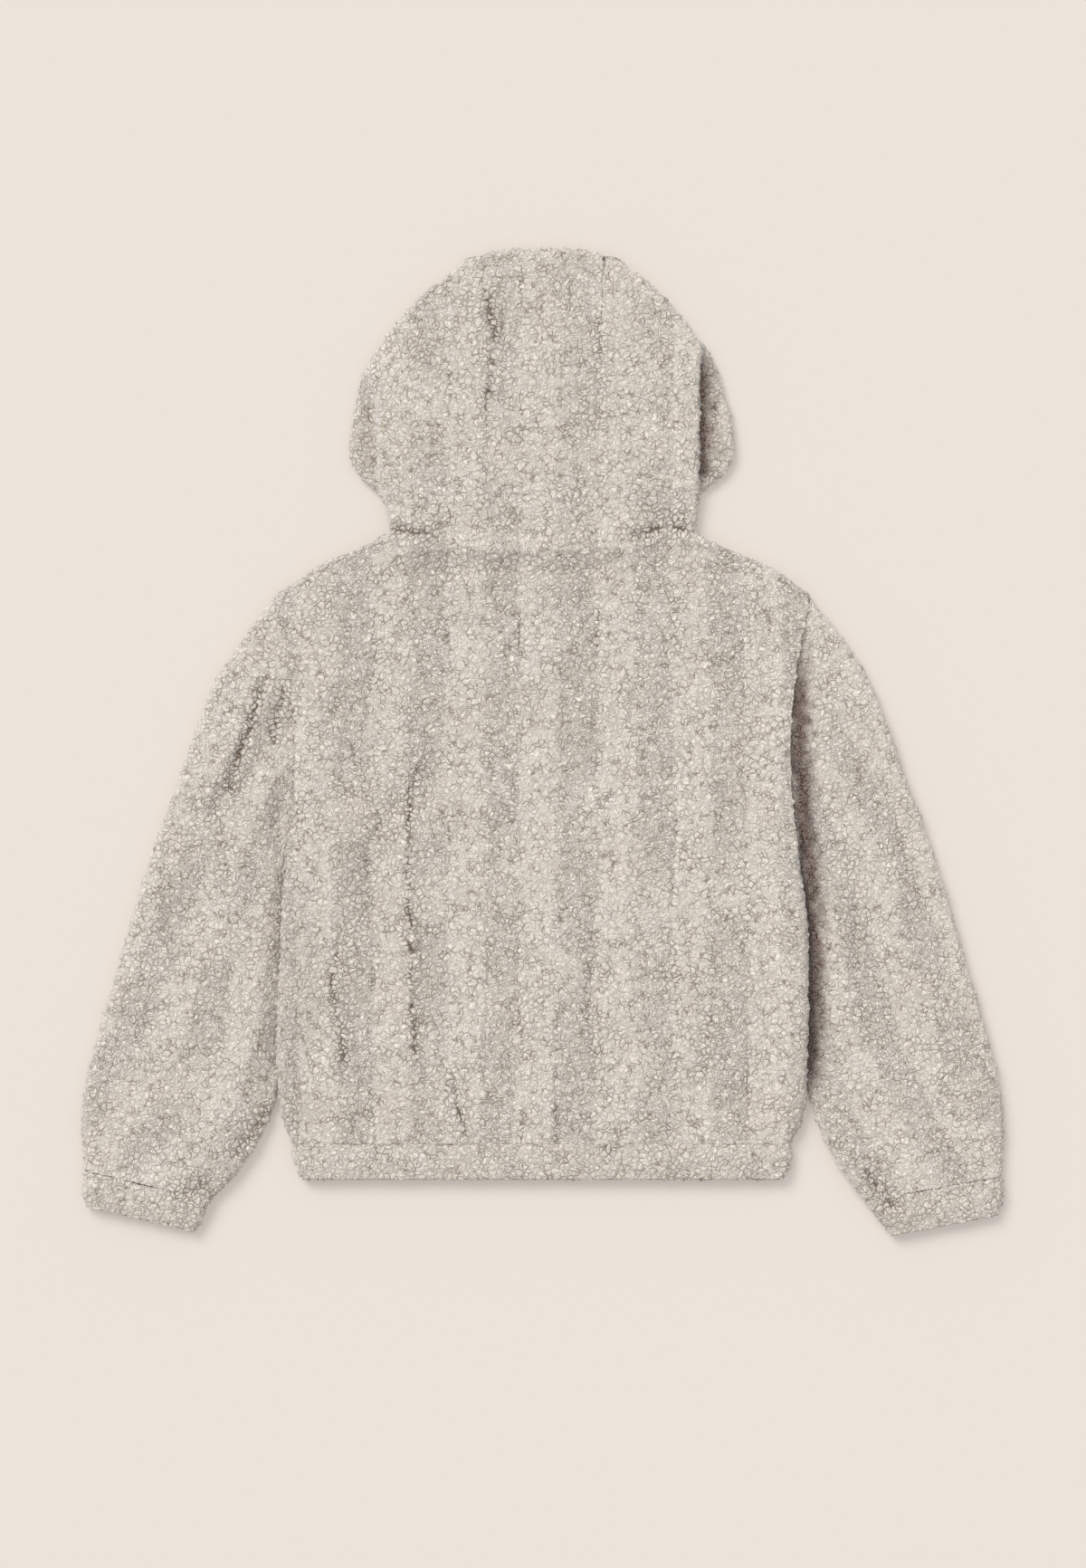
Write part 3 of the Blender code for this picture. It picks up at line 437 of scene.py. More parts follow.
def tube_sheets(table, side, rows):
    """A flattened tube as rings: underarm fold, upper side, outer fold, lower side."""
    knots = np.arange(len(table["outer_x"]))
    length = CUFF_LENGTH if table is CUFF else SLEEVE_LENGTH
    at = spots(length, rows)[0] / length * knots[-1]
    value = {name: curve(at, knots, values) for name, values in table.items()}
    far = np.stack((value["outer_x"], value["outer_y"]), -1)
    near = np.stack((value["inner_x"], value["inner_y"]), -1)
    if side < 0:
        far[:, 1] += value["left_outer_y"]
        near += np.stack((value["left_inner_x"], value["left_inner_y"]), -1)
    run = far - near
    width = np.hypot(run[:, 0], run[:, 1])[:, None]
    low_h, high_h = value["inner_h"][:, None], value["outer_h"][:, None]
    r_in, r_out = low_h / 2, high_h / 2
    wall_in = np.minimum(WALL, r_in - 0.3)
    turn = np.linspace(0, 1, 12, endpoint=False)[None]
    top = np.linspace(0, 1, int(SLEEVE_WIDTH / SLEEVE_STEP), endpoint=False)[None]
    under = np.linspace(0, 1, int(SLEEVE_WIDTH / UNDER_STEP), endpoint=False)[None]

    def turned(centre, radius, cloth, start):
        angle = start - math.pi * turn
        return [(centre + reach * np.cos(angle), radius + reach * np.sin(angle))
                for reach in (radius, radius - cloth)]

    def level(first, last, share, upper):
        place = first + (last - first) * share
        part = smooth((place - r_in) / value["reach"][:, None])
        height, cloth = low_h + (high_h - low_h) * part, wall_in + (WALL - wall_in) * part
        return [(place, height if upper else 0 * place), (place, height - cloth if upper else cloth)]

    pieces = (turned(r_in, r_in, wall_in, -math.pi / 2), level(r_in, width - r_out, top, True),
              turned(width - r_out, r_out, WALL, math.pi / 2), level(width - r_out, r_in, under, False))
    sheets = []
    for k in (0, 1):
        place = np.concatenate([piece[k][0] for piece in pieces], axis=1)
        height = np.concatenate([piece[k][1] for piece in pieces], axis=1)
        share = place / width
        x = near[:, :1] + run[:, :1] * share - value["bow"][:, None] * 4.0 * share * (1.0 - share)
        y = near[:, 1:] + run[:, 1:] * share
        sheets.append(np.stack((side * x, y, height), -1))
        if k == 0:
            across = place
    edge = np.minimum(at, knots[-1] - at)[:, None] / knots[-1] * length + 0 * across
    return [*sheets, edge, across]


def spaced(line, places):
    """Points at those places along a line of points."""
    far = np.concatenate(([0.0], np.cumsum(np.hypot(*np.diff(line[:, :2], axis=0).T))))
    return np.stack([np.interp(places, far, line[:, k]) for k in range(line.shape[1])], -1)


def line_length(line):
    return float(np.hypot(*np.diff(line[:, :2], axis=0).T).sum())


def add_arc(lines, centre, reaches, start, end, count):
    """Adds an arc to the outer line and one to the inner line, each with its own radius."""
    for k in range(count + 1):
        angle = start + (end - start) * k / count
        for line, reach in zip(lines, reaches):
            line.append((centre[0] + reach * math.cos(angle), centre[1] + reach * math.sin(angle)))


def hood_turn(fold, outline, top, wall):
    """Outer and inner points from the upper fold to the foot of the panel's edge."""
    count, tip, quarter = 10, WING_TOP / 2, math.pi / 2
    spread = max(outline - fold, WING_LEAST)
    share = float(smooth((outline - fold) / WING_LEAST))
    tall = max(top, WING_TOP + WING_STEP)
    radius, wing, plain = top / 2, ([], []), ([], [])
    add_arc(wing, (fold - FOLD_BROW, tall - FOLD_BROW), (FOLD_BROW, FOLD_BROW - wall), quarter, 0.0, count)
    add_arc(wing, (fold + FOLD_FOOT, WING_TOP + FOLD_FOOT), (FOLD_FOOT, FOLD_FOOT + wall),
            2 * quarter, 3 * quarter, count)
    add_arc(wing, (fold + spread - tip, tip), (tip, tip - wall), quarter, -quarter, 2 * count)
    add_arc(plain, (outline - radius, radius), (radius, radius - wall), quarter, -quarter,
            len(wing[0]) - 1)
    return [share * np.array(a) + (1.0 - share) * np.array(b) for a, b in zip(wing, plain)]


def hood_side_sheets(name, side):
    """A side panel: upper layer, fold, wing, then the lower layer in to the face opening."""
    low, high = HOOD["y"][0] - OVERLAP, CLOSE["y"][-1]
    y = low + spots(high - low, int((high - low) / HOOD_STEP), end=False)[0]
    count = int(330 / HOOD_STEP)
    value = {key: column(HOOD, key, y) for key in HOOD if key != "y"}
    pinch = np.interp(y, CLOSE["y"], CLOSE["pinch"])[:, None]
    sheets, edges = ([], []), []
    for i in range(len(y)):
        turns = hood_turn(value["fold_" + name][i], value["outline_" + name][i], value["fold_z"][i],
                          HOOD_WALL)
        seam = value["seam"][i] - OVERLAP
        rim = value["rim"][i] - (OVERLAP if y[i] >= BROW_Y else 0.0)
        first, last = turns[0][0], turns[0][-1]
        x = np.linspace(seam, first[0], HOOD_SPOTS, endpoint=False)
        rise = smooth(1.0 - (first[0] - x) / FOLD_REACH)
        level = value["middle_z"][i] + (first[1] - value["middle_z"][i]) * rise
        foot = np.linspace(last[0], rim, HOOD_SPOTS)[1:]
        for k, (turned, drop) in enumerate(zip(turns, (0.0, HOOD_WALL))):
            line = np.concatenate((np.stack((x, level - drop, 0 * x), -1),
                                   np.column_stack((turned, turned[:, 1] < ROUND)),
                                   np.stack((foot, 0 * foot + drop, 1 + 0 * foot), -1)))
            total = line_length(line)
            place = spots(total, count)[0]
            sheets[k].append(spaced(line, place))
            if k == 0:
                edges.append(np.minimum(place, total - place))
    made = []
    for sheet in sheets:
        sheet = np.array(sheet)
        dip = np.where(sheet[..., 2] < 0.5, value["back_dip"][:, None], value["front_dip"][:, None])
        place = y[:, None] - dip * (1.0 - np.minimum(1.0, (sheet[..., 0] / NECK_HALF) ** 2))
        filled = smooth((y[:, None] - CROWN_FROM) / 12) * smooth((CROWN_OUT - sheet[..., 0]) / 26)
        place = place + CROWN_FILL * filled
        made.append(np.stack((side * sheet[..., 0], place, ROUND + (sheet[..., 1] - ROUND) * pinch), -1))
    edge = np.minimum(np.array(edges), (y - y[0])[:, None])
    return [*made, edge]


def hood_centre_sheets():
    """The centre strip: up from the neck, over the crown and down to the brow."""
    up = np.arange(HOOD["y"][0] - OVERLAP, CROWN_START, 1.0)
    path = [(y, float(column(HOOD, "middle_z", y)), 0.0, 1.0, float(column(HOOD, "seam", y)),
             float(column(HOOD, "back_dip", y))) for y in up]
    for k in range(CROWN_TURNS + 1):
        angle = math.pi / 2 - math.pi * k / CROWN_TURNS
        path.append((CROWN_Y - ROUND + ROUND * math.cos(angle), ROUND + ROUND * math.sin(angle),
                     math.cos(angle), math.sin(angle), HOOD["seam"][-1], 0.0))
    for y in np.arange(CROWN_Y - ROUND - 2.0, BROW_Y - 1.0, -2.0):
        path.append((y, 0.0, 0.0, -1.0, float(column(HOOD, "rim", y)), 0.0))
    path = np.array(path)
    total = line_length(path)
    place = spots(total, int(total / HOOD_STEP))[0]
    path = spaced(path, place)
    half = path[:, 4] + OVERLAP
    across = spots(2 * half, int(126 / HOOD_STEP))
    x = across - half[:, None]
    sag = path[:, 5:6] * (1.0 - (x / NECK_HALF) ** 2)
    lean_y, lean_z = path[:, 2:3], path[:, 3:4]
    y = path[:, :1] - sag - lean_y * CROWN_DROP * np.abs(x / half[:, None]) ** 4
    outer = np.stack((x, y, path[:, 1:2] + 0 * x), -1)
    inner = np.stack((x, y - lean_y * HOOD_WALL, path[:, 1:2] - lean_z * HOOD_WALL + 0 * x), -1)
    edge = np.minimum(np.minimum(across, 2 * half[:, None] - across),
                      np.minimum(place, total - place)[:, None])
    return [outer, inner, edge]


# ---- nodes
# Noise scales are per millimetre of cloth.
BEND_SCALE, BEND_REACH = 0.13, 9.0
LINE_SCALES = ((0.32, 57.0), (0.38, 83.0))      # scale and shift of the fine lines' two noises
LINE_PUFF, LINE_OPEN = 0.10, 0.035              # noise values over which a curl rises and a line opens
CURL_SCALE = 0.16                               # cells of the long curls
CURL_SWELL = (-0.03, 0.28)
CURL_OPEN = 0.115
DOME_SCALE, DOME_FALL = 0.10, -1.35
PATCH_SCALE, BROKEN_SCALE = 0.05, 0.09
MOTTLE_SCALE, FIBRE_SCALE, WEAVE_SCALE = 0.25, 0.9, 0.28


class Graph:
    """Adds nodes that geometry trees and shader trees have in common."""

    def __init__(self, tree):
        self.tree = tree

    def node(self, kind, values=(), **settings):
        made = self.tree.nodes.new(kind)
        for key, value in settings.items():
            setattr(made, key, value)
        for key, value in dict(values).items():
            if isinstance(value, bpy.types.NodeSocket):
                self.tree.links.new(value, made.inputs[key])
            else:
                made.inputs[key].default_value = value
        return made

    def math(self, operation, a, b=0.0, c=0.0):
        return self.node("ShaderNodeMath", {0: a, 1: b, 2: c}, operation=operation).outputs[0]

    def plus(self, a, b):
        return self.math("ADD", a, b)

    def minus(self, a, b):
        return self.math("SUBTRACT", a, b)

    def times(self, a, b):
        return self.math("MULTIPLY", a, b)

    def mix(self, factor, a, b):
        return self.math("MULTIPLY_ADD", factor, self.minus(b, a), a)

    def vector(self, operation, a, b):
        return self.node("ShaderNodeVectorMath", {0: a, 1: b}, operation=operation).outputs[0]

    def scaled(self, a, factor):
        return self.node("ShaderNodeVectorMath", {0: a, "Scale": factor}, operation="SCALE").outputs[0]

    def noise(self, place, scale, detail=0.0, output="Fac"):
        values = {"Vector": place, "Scale": scale, "Detail": detail}
        return self.node("ShaderNodeTexNoise", values).outputs[output]

    def cells(self, place, scale, feature="F1"):
        values = {"Vector": place, "Scale": scale}
        return self.node("ShaderNodeTexVoronoi", values, feature=feature).outputs["Distance"]

    def ramp(self, value, low, high):
        """0 at low to 1 at high, with soft ends."""
        return self.node("ShaderNodeMapRange", {0: value, 1: low, 2: high},
                         interpolation_type="SMOOTHSTEP").outputs[0]

    def clamped(self, value, high):
        """0 at 0 to 1 at high, in a straight line."""
        return self.node("ShaderNodeMapRange", {0: value, 1: 0.0, 2: high}).outputs[0]

    def colour(self, factor, a, b, blend="MIX"):
        return self.node("ShaderNodeMix", {"Factor": factor, "A": a, "B": b}, data_type="RGBA",
                         blend_type=blend).outputs["Result"]

    def attribute(self, name, vector=False):
        if self.tree.bl_idname == "ShaderNodeTree":
            made = self.node("ShaderNodeAttribute", attribute_name=name)
            return made.outputs["Vector" if vector else "Fac"]
        kind = "FLOAT_VECTOR" if vector else "FLOAT"
        return self.node("GeometryNodeInputNamedAttribute", {"Name": name}, data_type=kind).outputs[0]

    def finish(self, shader, colour, height, strength, distance):
        """Gives a shader its colour, and its bump from a height."""
        bump = self.node("ShaderNodeBump", {"Strength": strength, "Distance": distance, "Height": height})
        self.tree.links.new(colour, shader.inputs["Base Color"])
        self.tree.links.new(bump.outputs[0], shader.inputs["Normal"])


def pile_nodes(g):
    """The pile's height, its relief for the bump, how far a point is out of the grooves, the place on
    the cloth, and how much painted crease shade shows where the pile opens.
    """
    place = g.attribute("cloth", True)
    curly, lumps, crease_shade = g.node("ShaderNodeSeparateXYZ", {0: g.attribute("look_and_shade", True)}).outputs
    bend = g.vector("SUBTRACT", g.noise(place, BEND_SCALE, 1.0, "Color"), (0.5, 0.5, 0.5))
    bent = g.vector("ADD", place, g.scaled(bend, BEND_REACH))
    lines = []
    for scale, shift in LINE_SCALES:        # distance from where a noise crosses its middle value
        value = g.noise(g.vector("ADD", bent, (shift, -shift, shift)), scale)
        lines.append(g.math("ABSOLUTE", g.minus(value, 0.5)))
    fine_lines = g.math("MINIMUM", *lines)
    crack = g.cells(bent, CURL_SCALE, "DISTANCE_TO_EDGE")
    big = g.cells(bent, DOME_SCALE)
    dome = g.math("MULTIPLY_ADD", g.times(big, big), DOME_FALL, 1.0)
    patch = g.ramp(g.noise(place, PATCH_SCALE, 1.0), 0.35, 0.6)
    puff = g.math("POWER", g.clamped(fine_lines, LINE_PUFF), 0.6)
    swell = g.ramp(crack, *CURL_SWELL)
    curl = g.times(puff, g.mix(curly, 0.3, 1.0))
    roll = g.times(swell, g.plus(g.mix(patch, 0.6, 0.9), g.times(lumps, 0.5)))
    form = g.plus(g.times(curl, 0.5), g.times(dome, g.mix(lumps, 0.8, 1.8)))
    relief = g.plus(g.times(curl, 1.1), g.times(roll, g.mix(curly, 0.9, 1.5)))
    fine_grooves = g.mix(g.mix(curly, 0.15, 0.75), 1.0, g.clamped(fine_lines, LINE_OPEN))
    broken = g.ramp(g.noise(place, BROKEN_SCALE, 1.0), 0.38, 0.62)
    shown = g.math("MAXIMUM", g.mix(broken, 0.08, 0.75), g.times(lumps, 0.9))
    long_grooves = g.mix(shown, 1.0, g.ramp(crack, 0.0, CURL_OPEN))
    # Painted crease shade: it shows in the cracks between curls, not on their tops.
    painted_crease_shade = g.ramp(g.minus(crease_shade, g.times(swell, 0.66)), 0.0, 0.55)
    return form, relief, g.times(fine_grooves, long_grooves), place, painted_crease_shade


def pile_tree():
    tree = bpy.data.node_groups.new("pile_height", "GeometryNodeTree")
    for way in ("INPUT", "OUTPUT"):
        tree.interface.new_socket("Geometry", in_out=way, socket_type="NodeSocketGeometry")
    g = Graph(tree)
    start = g.node("NodeGroupInput")
    values = {"Geometry": start.outputs[0], "Name": "pile_height", "Value": pile_nodes(g)[0]}
    kept = g.node("GeometryNodeStoreNamedAttribute", values, data_type="FLOAT", domain="POINT")
    g.node("NodeGroupOutput", {0: kept.outputs[0]})
    return tree


height_tree = pile_tree()


def add_object(name, data):
    made = bpy.data.objects.new(name, data)
    bpy.context.scene.collection.objects.link(made)
    return made


def add_attribute(mesh, name, values):
    """A number or vector for each point."""
    vector = values.ndim > 1
    made = mesh.attributes.new(name, "FLOAT_VECTOR" if vector else "FLOAT", "POINT")
    made.data.foreach_set("vector" if vector else "value", np.ascontiguousarray(values, np.float32).ravel())


def pile_heights(cloth, look_and_shade):
    """The pile's height at each point, from the same nodes as the fleece's own."""
    mesh = bpy.data.meshes.new("points")
    mesh.vertices.add(len(cloth))
    add_attribute(mesh, "cloth", cloth)
    add_attribute(mesh, "look_and_shade", look_and_shade)
    holder = add_object("points", mesh)
    holder.modifiers.new("pile", "NODES").node_group = height_tree
    done = holder.evaluated_get(bpy.context.evaluated_depsgraph_get()).data
    heights = np.zeros(len(cloth), np.float32)
    done.attributes["pile_height"].data.foreach_get("value", heights)
    bpy.data.objects.remove(holder)
    bpy.data.meshes.remove(mesh)
    return heights


# ---- materials
TIP_LOW = (0.84, 0.763, 0.672, 1.0)
TIP_HIGH = (0.87, 0.808, 0.722, 1.0)
# Painted highlight on the cloth's sloping sides.
RIM_HIGHLIGHT = (0.94, 0.925, 0.895, 1.0)
# The pile's darker roots in the grooves between curls, deepened with painted shade.
GROOVE = (0.185, 0.125, 0.078, 1.0)
# Painted shade in creases and beside the strips, where the opened pile shows.
OPEN_PILE_SHADE = (0.22, 0.16, 0.11, 1.0)
DEPTH = (0.08, 0.012, 0.0, 1.0)     # multiplied in where a raised edge shades the pile
BACKING_LOW = (0.58, 0.52, 0.44, 1.0)
BACKING_HIGH = (0.66, 0.60, 0.51, 1.0)
METAL_LOW = (0.42, 0.41, 0.40, 1.0)
METAL_HIGH = (0.60, 0.59, 0.57, 1.0)
TAPE_LOW = (0.45, 0.40, 0.335, 1.0)
TAPE_HIGH = (0.63, 0.57, 0.49, 1.0)
FLOOR_COLOUR = (0.56, 0.513, 0.47, 1.0)
FLOOR_GLOW = (0.229, 0.211, 0.1935, 1.0)


def new_material(name, roughness, metallic=0.0, **sockets):
    made = bpy.data.materials.new(name)
    made.use_nodes = True
    shader = made.node_tree.nodes["Principled BSDF"]
    shader.inputs["Roughness"].default_value = roughness
    shader.inputs["Metallic"].default_value = metallic
    for key, value in sockets.items():
        shader.inputs[key.replace("_", " ")].default_value = value
    return made, Graph(made.node_tree), shader


def fleece_material():
    made, g, shader = new_material("curled_fleece", 0.95, Sheen_Weight=0.6, Sheen_Roughness=0.4,
                                   Specular_IOR_Level=0.12)
    relief, level, place, painted_crease_shade = pile_nodes(g)[1:]
    tone_and_rim_light, pile = g.attribute("tone_and_rim_light"), g.attribute("pile")
    fibre = g.noise(place, FIBRE_SCALE, 2.0)
    tip = g.colour(g.ramp(tone_and_rim_light, -1.0, 1.0), TIP_LOW, TIP_HIGH)
    # Painted highlight: tips go paler where the cloth slopes to the side.
    tip = g.colour(g.ramp(tone_and_rim_light, 1.4, 3.2), tip, RIM_HIGHLIGHT)
    mottle = g.mix(g.noise(place, MOTTLE_SCALE, 2.0), 0.97, 1.03)
    # Grooves: the pile's darker roots, with painted shade.
    coat = g.scaled(g.colour(level, GROOVE, tip), mottle)
    # Painted crease shade.
    coat = g.colour(painted_crease_shade, coat, OPEN_PILE_SHADE)
    caught = g.times(g.mix(level, 1.1, 0.86), g.mix(g.ramp(fibre, 0.44, 0.58), 1.04, 0.74))
    deep = g.times(g.attribute("depth"), caught)
    coat = g.colour(deep, coat, DEPTH, "MULTIPLY")
    values = {"Vector": place, "Scale": WEAVE_SCALE, "Distortion": 0.6, "Detail": 1.0}
    weave = g.node("ShaderNodeTexWave", values).outputs["Fac"]
    back = g.colour(weave, BACKING_LOW, BACKING_HIGH)
    rough = g.plus(g.minus(relief, g.times(painted_crease_shade, 0.6)), g.times(fibre, 0.3))
    g.finish(shader, g.colour(pile, back, coat), g.mix(pile, g.times(weave, 0.25), rough), 1.0, 0.001)
    return made


def metal_material():
    made, g, shader = new_material("brushed_metal", 0.32, 1.0)
    place = g.node("ShaderNodeTexCoord").outputs["Object"]
    grain = g.noise(g.vector("MULTIPLY", place, (3000.0, 250.0, 3000.0)), 1.0, 2.0)
    g.finish(shader, g.colour(grain, METAL_LOW, METAL_HIGH), grain, 0.3, 0.0001)
    made.node_tree.links.new(g.mix(grain, 0.24, 0.42), shader.inputs["Roughness"])
    return made


def tape_material():
    """Woven tape: fine ribs along it and a slant in the weave."""
    made, g, shader = new_material("woven_tape", 0.85, Sheen_Weight=0.15, Specular_IOR_Level=0.2)
    place = g.node("ShaderNodeTexCoord").outputs["Object"]
    ribs = g.node("ShaderNodeTexWave", {"Vector": place, "Scale": 320.0}, bands_direction="X").outputs["Fac"]
    slant = g.node("ShaderNodeTexWave", {"Vector": place, "Scale": 260.0, "Distortion": 0.3},
                   bands_direction="DIAGONAL").outputs["Fac"]
    weave = g.times(g.mix(ribs, 0.6, 1.0), g.mix(slant, 0.7, 1.0))
    g.finish(shader, g.colour(weave, TAPE_LOW, TAPE_HIGH), weave, 0.7, 0.0003)
    return made


# ---- cloth
def normals(sheet, outwards, ring):
    """Unit normals of a sheet of points, on the side that outwards points to."""
    if ring:
        around = np.concatenate((sheet[:, -1:], sheet, sheet[:, :1]), axis=1)
        across = (around[:, 2:] - around[:, :-2]) / 2
    else:
        across = np.gradient(sheet, axis=1)
    cross = np.cross(np.gradient(sheet, axis=0), across)
    cross *= np.sign((cross * outwards).sum(-1, keepdims=True))
    return cross / np.maximum(np.linalg.norm(cross, axis=-1, keepdims=True), 1e-9)


def rolled(edge, radius):
    """How far the pile rolls in beside a cut edge."""
    rest = radius - np.clip(edge, 0.0, radius)
    return radius - np.sqrt(radius ** 2 - rest ** 2)


def stitch(fine, coarse):
    """Triangles between two lines of point numbers, the first with more points."""
    marks = np.round(np.linspace(0, len(fine) - 1, len(coarse))).astype(int)
    faces = []
    for k in range(len(coarse) - 1):
        first, last = marks[k], marks[k + 1]
        middle = (first + last) // 2
        faces += [(fine[i], fine[i + 1], coarse[k]) for i in range(first, middle)]
        faces.append((fine[middle], coarse[k + 1], coarse[k]))
        faces += [(fine[i], fine[i + 1], coarse[k + 1]) for i in range(middle, last)]
    return faces


def squares(numbers):
    corners = (numbers[:-1, :-1], numbers[:-1, 1:], numbers[1:, 1:], numbers[1:, :-1])
    return np.stack(corners, -1).reshape(-1, 4).tolist()


def shell_mesh(name, outer, inner, ring):
    """A closed shell of a fine outer sheet and a coarse inner one."""
    size = outer.shape[0] * outer.shape[1]
    over = np.arange(size).reshape(outer.shape[:2])
    under = size + np.arange(inner.shape[0] * inner.shape[1]).reshape(inner.shape[:2])
    if ring:
        over, under = np.column_stack((over, over[:, 0])), np.column_stack((under, under[:, 0]))
    faces = squares(over) + squares(under)
    faces += stitch(over[0], under[0]) + stitch(over[-1], under[-1])
    if not ring:
        faces += stitch(over[:, 0], under[:, 0]) + stitch(over[:, -1], under[:, -1])
    mesh = bpy.data.meshes.new(name)
    points = np.concatenate((outer.reshape(-1, 3), inner.reshape(-1, 3)))
    mesh.from_pydata(points * MM, [], faces)
    form = bmesh.new()
    form.from_mesh(mesh)
    bmesh.ops.recalc_face_normals(form, faces=form.faces)
    form.to_mesh(mesh)
    form.free()
    mesh.shade_smooth()
    return mesh


def knit_marks(x, y, across, strips, seed, strength):
    """How curled and how pale the knit behind the pile makes it, and the painted shade in the crease at each
    strip's right edge.
    """
    none = np.zeros_like(x)
    if not strips:
        return none, none, none
    curled = stripe(x if across is None else across, y, strips, seed)
    curled = np.clip(curled * smooth(0.9 + 0.5 * wobble(x, y, 60, seed + 40)), 0.0, 1.0) * strength
    if across is not None:
        return curled, none, none
    pale, crease_shade = none, none
    bent = x + 2.5 * wobble(0.2 * x, y, 50, seed + 50)
    for middle in PALE_LINES:
        shown = smooth(0.6 + 0.7 * wobble(0 * x + middle, y, 70, int(middle) + 400))
        pale = np.maximum(pale, shown * np.exp(-((bent - middle) / 2.6) ** 2))
    # Painted shade in the crease at each strip's right edge.
    for middle, half in strips:
        shown = smooth(0.35 + 0.8 * wobble(0 * x + middle, y, 45, int(middle) + 700))
        crease_shade = np.maximum(crease_shade, 0.5 * shown * np.exp(-np.abs(bent - middle - half - 2.5) / 2.4))
    return curled, pale, crease_shade


def beside_edge(node, sheet, up, seed):
    """The shade of a raised edge on the layer beside it, and how far that layer sinks."""
    x, y = sheet[..., 0], sheet[..., 1]
    if node not in GAPS:
        return np.zeros_like(x), np.zeros_like(x)
    half, deep, shade, points = GAPS[node]
    far, place = along_line(x, y, points)
    far = np.maximum(far + 2.5 * wobble(x, y, 12, seed + 90), 0.0)
    ends = 0.3 + 0.7 * smooth(place / 0.1) * smooth((1 - place) / 0.08)
    depth = shade * ((sheet[..., 2] < GAP_TOP) * up) * np.exp(-(far / half) ** 2.4) * ends
    return depth, deep * np.exp(-(far / half) ** 2)


def thinned(sheet, ring):
    """Every few points of a sheet, about INNER_STEP apart."""
    def spans(line):
        return np.linalg.norm(np.diff(line, axis=0), axis=1).sum() / INNER_STEP

    rows = max(4, int(spans(sheet[:, sheet.shape[1] // 2])))
    columns = max(6, int(spans(sheet[sheet.shape[0] // 2])))
    pick_rows = np.round(np.linspace(0, sheet.shape[0] - 1, rows)).astype(int)
    pick_columns = np.linspace(0, sheet.shape[1] - (0 if ring else 1), columns + ring)
    pick_columns = np.round(pick_columns).astype(int)
    return sheet[pick_rows][:, pick_columns[:-1] if ring else pick_columns]


def make_cloth(node, outer, inner, edge, seed, across=None, ring=False, strips=STRIPS, base=0.0, swell=1.0,
               roll=1.8, strip_strength=0.85):
    """One panel: its folds, its pile and its attributes. base: lumps all over. swell: soft waves."""
    cloth = outer + np.array((17.0 * seed, 29.0 * seed, 11.0 * seed))
    facing = normals(outer, outer - inner, ring)
    up, down = smooth(facing[..., 2] / 0.5), smooth(-facing[..., 2] / 0.5)
    x, y = outer[..., 0], outer[..., 1]
    rise, crease_shade, lumps = creased(x, y, CREASES, 5)
    rise_under, crease_shade_under, lumps_under = creased(x, y, UNDER_CREASES, 9)
    depth, sink = beside_edge(node, outer, up, seed)
    curled, pale, strip_edge_shade = knit_marks(x, y, across, strips, seed, strip_strength)
    lumps = np.maximum(lumps * up, lumps_under * down)
    lumps = np.maximum(lumps, 0.3 * smooth((wobble(x, y, 26, seed + 60) - 0.3) / 0.6))
    lumps = np.clip(lumps + base, 0.0, 1.0)
    # Painted crease shade, on the upper side and on the side that lies down.
    crease_shade = np.maximum(np.maximum(crease_shade, strip_edge_shade) * up, crease_shade_under * down)
    waves = 0.8 * pale - 0.3 * curled + 0.8 * swell * wobble(x, y, 48, 77)
    change = (rise - sink + waves) * up - rise_under * down
    outer, inner = outer.copy(), inner.copy()
    outer[..., 2] += change
    inner[..., 2] += change * up
    outer -= facing * rolled(edge, roll)[..., None]
    inner += facing * rolled(edge, INNER_ROLL)[..., None]
    curly = np.clip(0.34 + 0.5 * curled, 0, 1) if strips else 0.45 + 0 * x
    look_and_shade = np.stack((curly, lumps, crease_shade), -1)
    # Painted rim highlight: paler tips where the cloth turns from facing up to facing sideways.
    rim = smooth((0.7 - facing[..., 2]) / 0.35) * smooth((facing[..., 2] + 0.15) / 0.3)
    tone_and_rim_light = 0.4 * wobble(x, y, 55, seed + 70) + 1.1 * pale - 0.1 * curled + 2.6 * rim
    heights = pile_heights(cloth.reshape(-1, 3), look_and_shade.reshape(-1, 3)).reshape(x.shape)
    facing = normals(outer, outer - inner, ring)
    sideways = 1.0 - np.abs(facing[..., 2])
    amount = (0.7 + 0.3 * smooth(edge / 5.0)) * (1.0 + 0.9 * sideways) * PILE
    tufts = 1.3 * wobble(x, y, 3.0, seed + 30) * sideways
    outer += facing * ((heights - PILE_MIDDLE) * amount + tufts)[..., None]
    outer[..., 2] = np.maximum(outer[..., 2], REST)

    coarse = thinned(inner, ring)
    mesh = shell_mesh(node + "_cloth", outer, coarse, ring)
    add_attribute(mesh, "cloth", np.concatenate((cloth.reshape(-1, 3), coarse.reshape(-1, 3))))
    hidden = coarse.shape[0] * coarse.shape[1]
    add_attribute(mesh, "look_and_shade", np.concatenate((look_and_shade.reshape(-1, 3), np.zeros((hidden, 3)))))
    for name, values in (("depth", depth), ("tone_and_rim_light", tone_and_rim_light), ("pile", np.ones_like(x))):
        add_attribute(mesh, name, np.concatenate((values.ravel(), np.zeros(hidden))))
    made = add_object(node + "_cloth", mesh)
    mesh.materials.append(fleece)
    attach(made, "jacket")
    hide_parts(node)
    return made


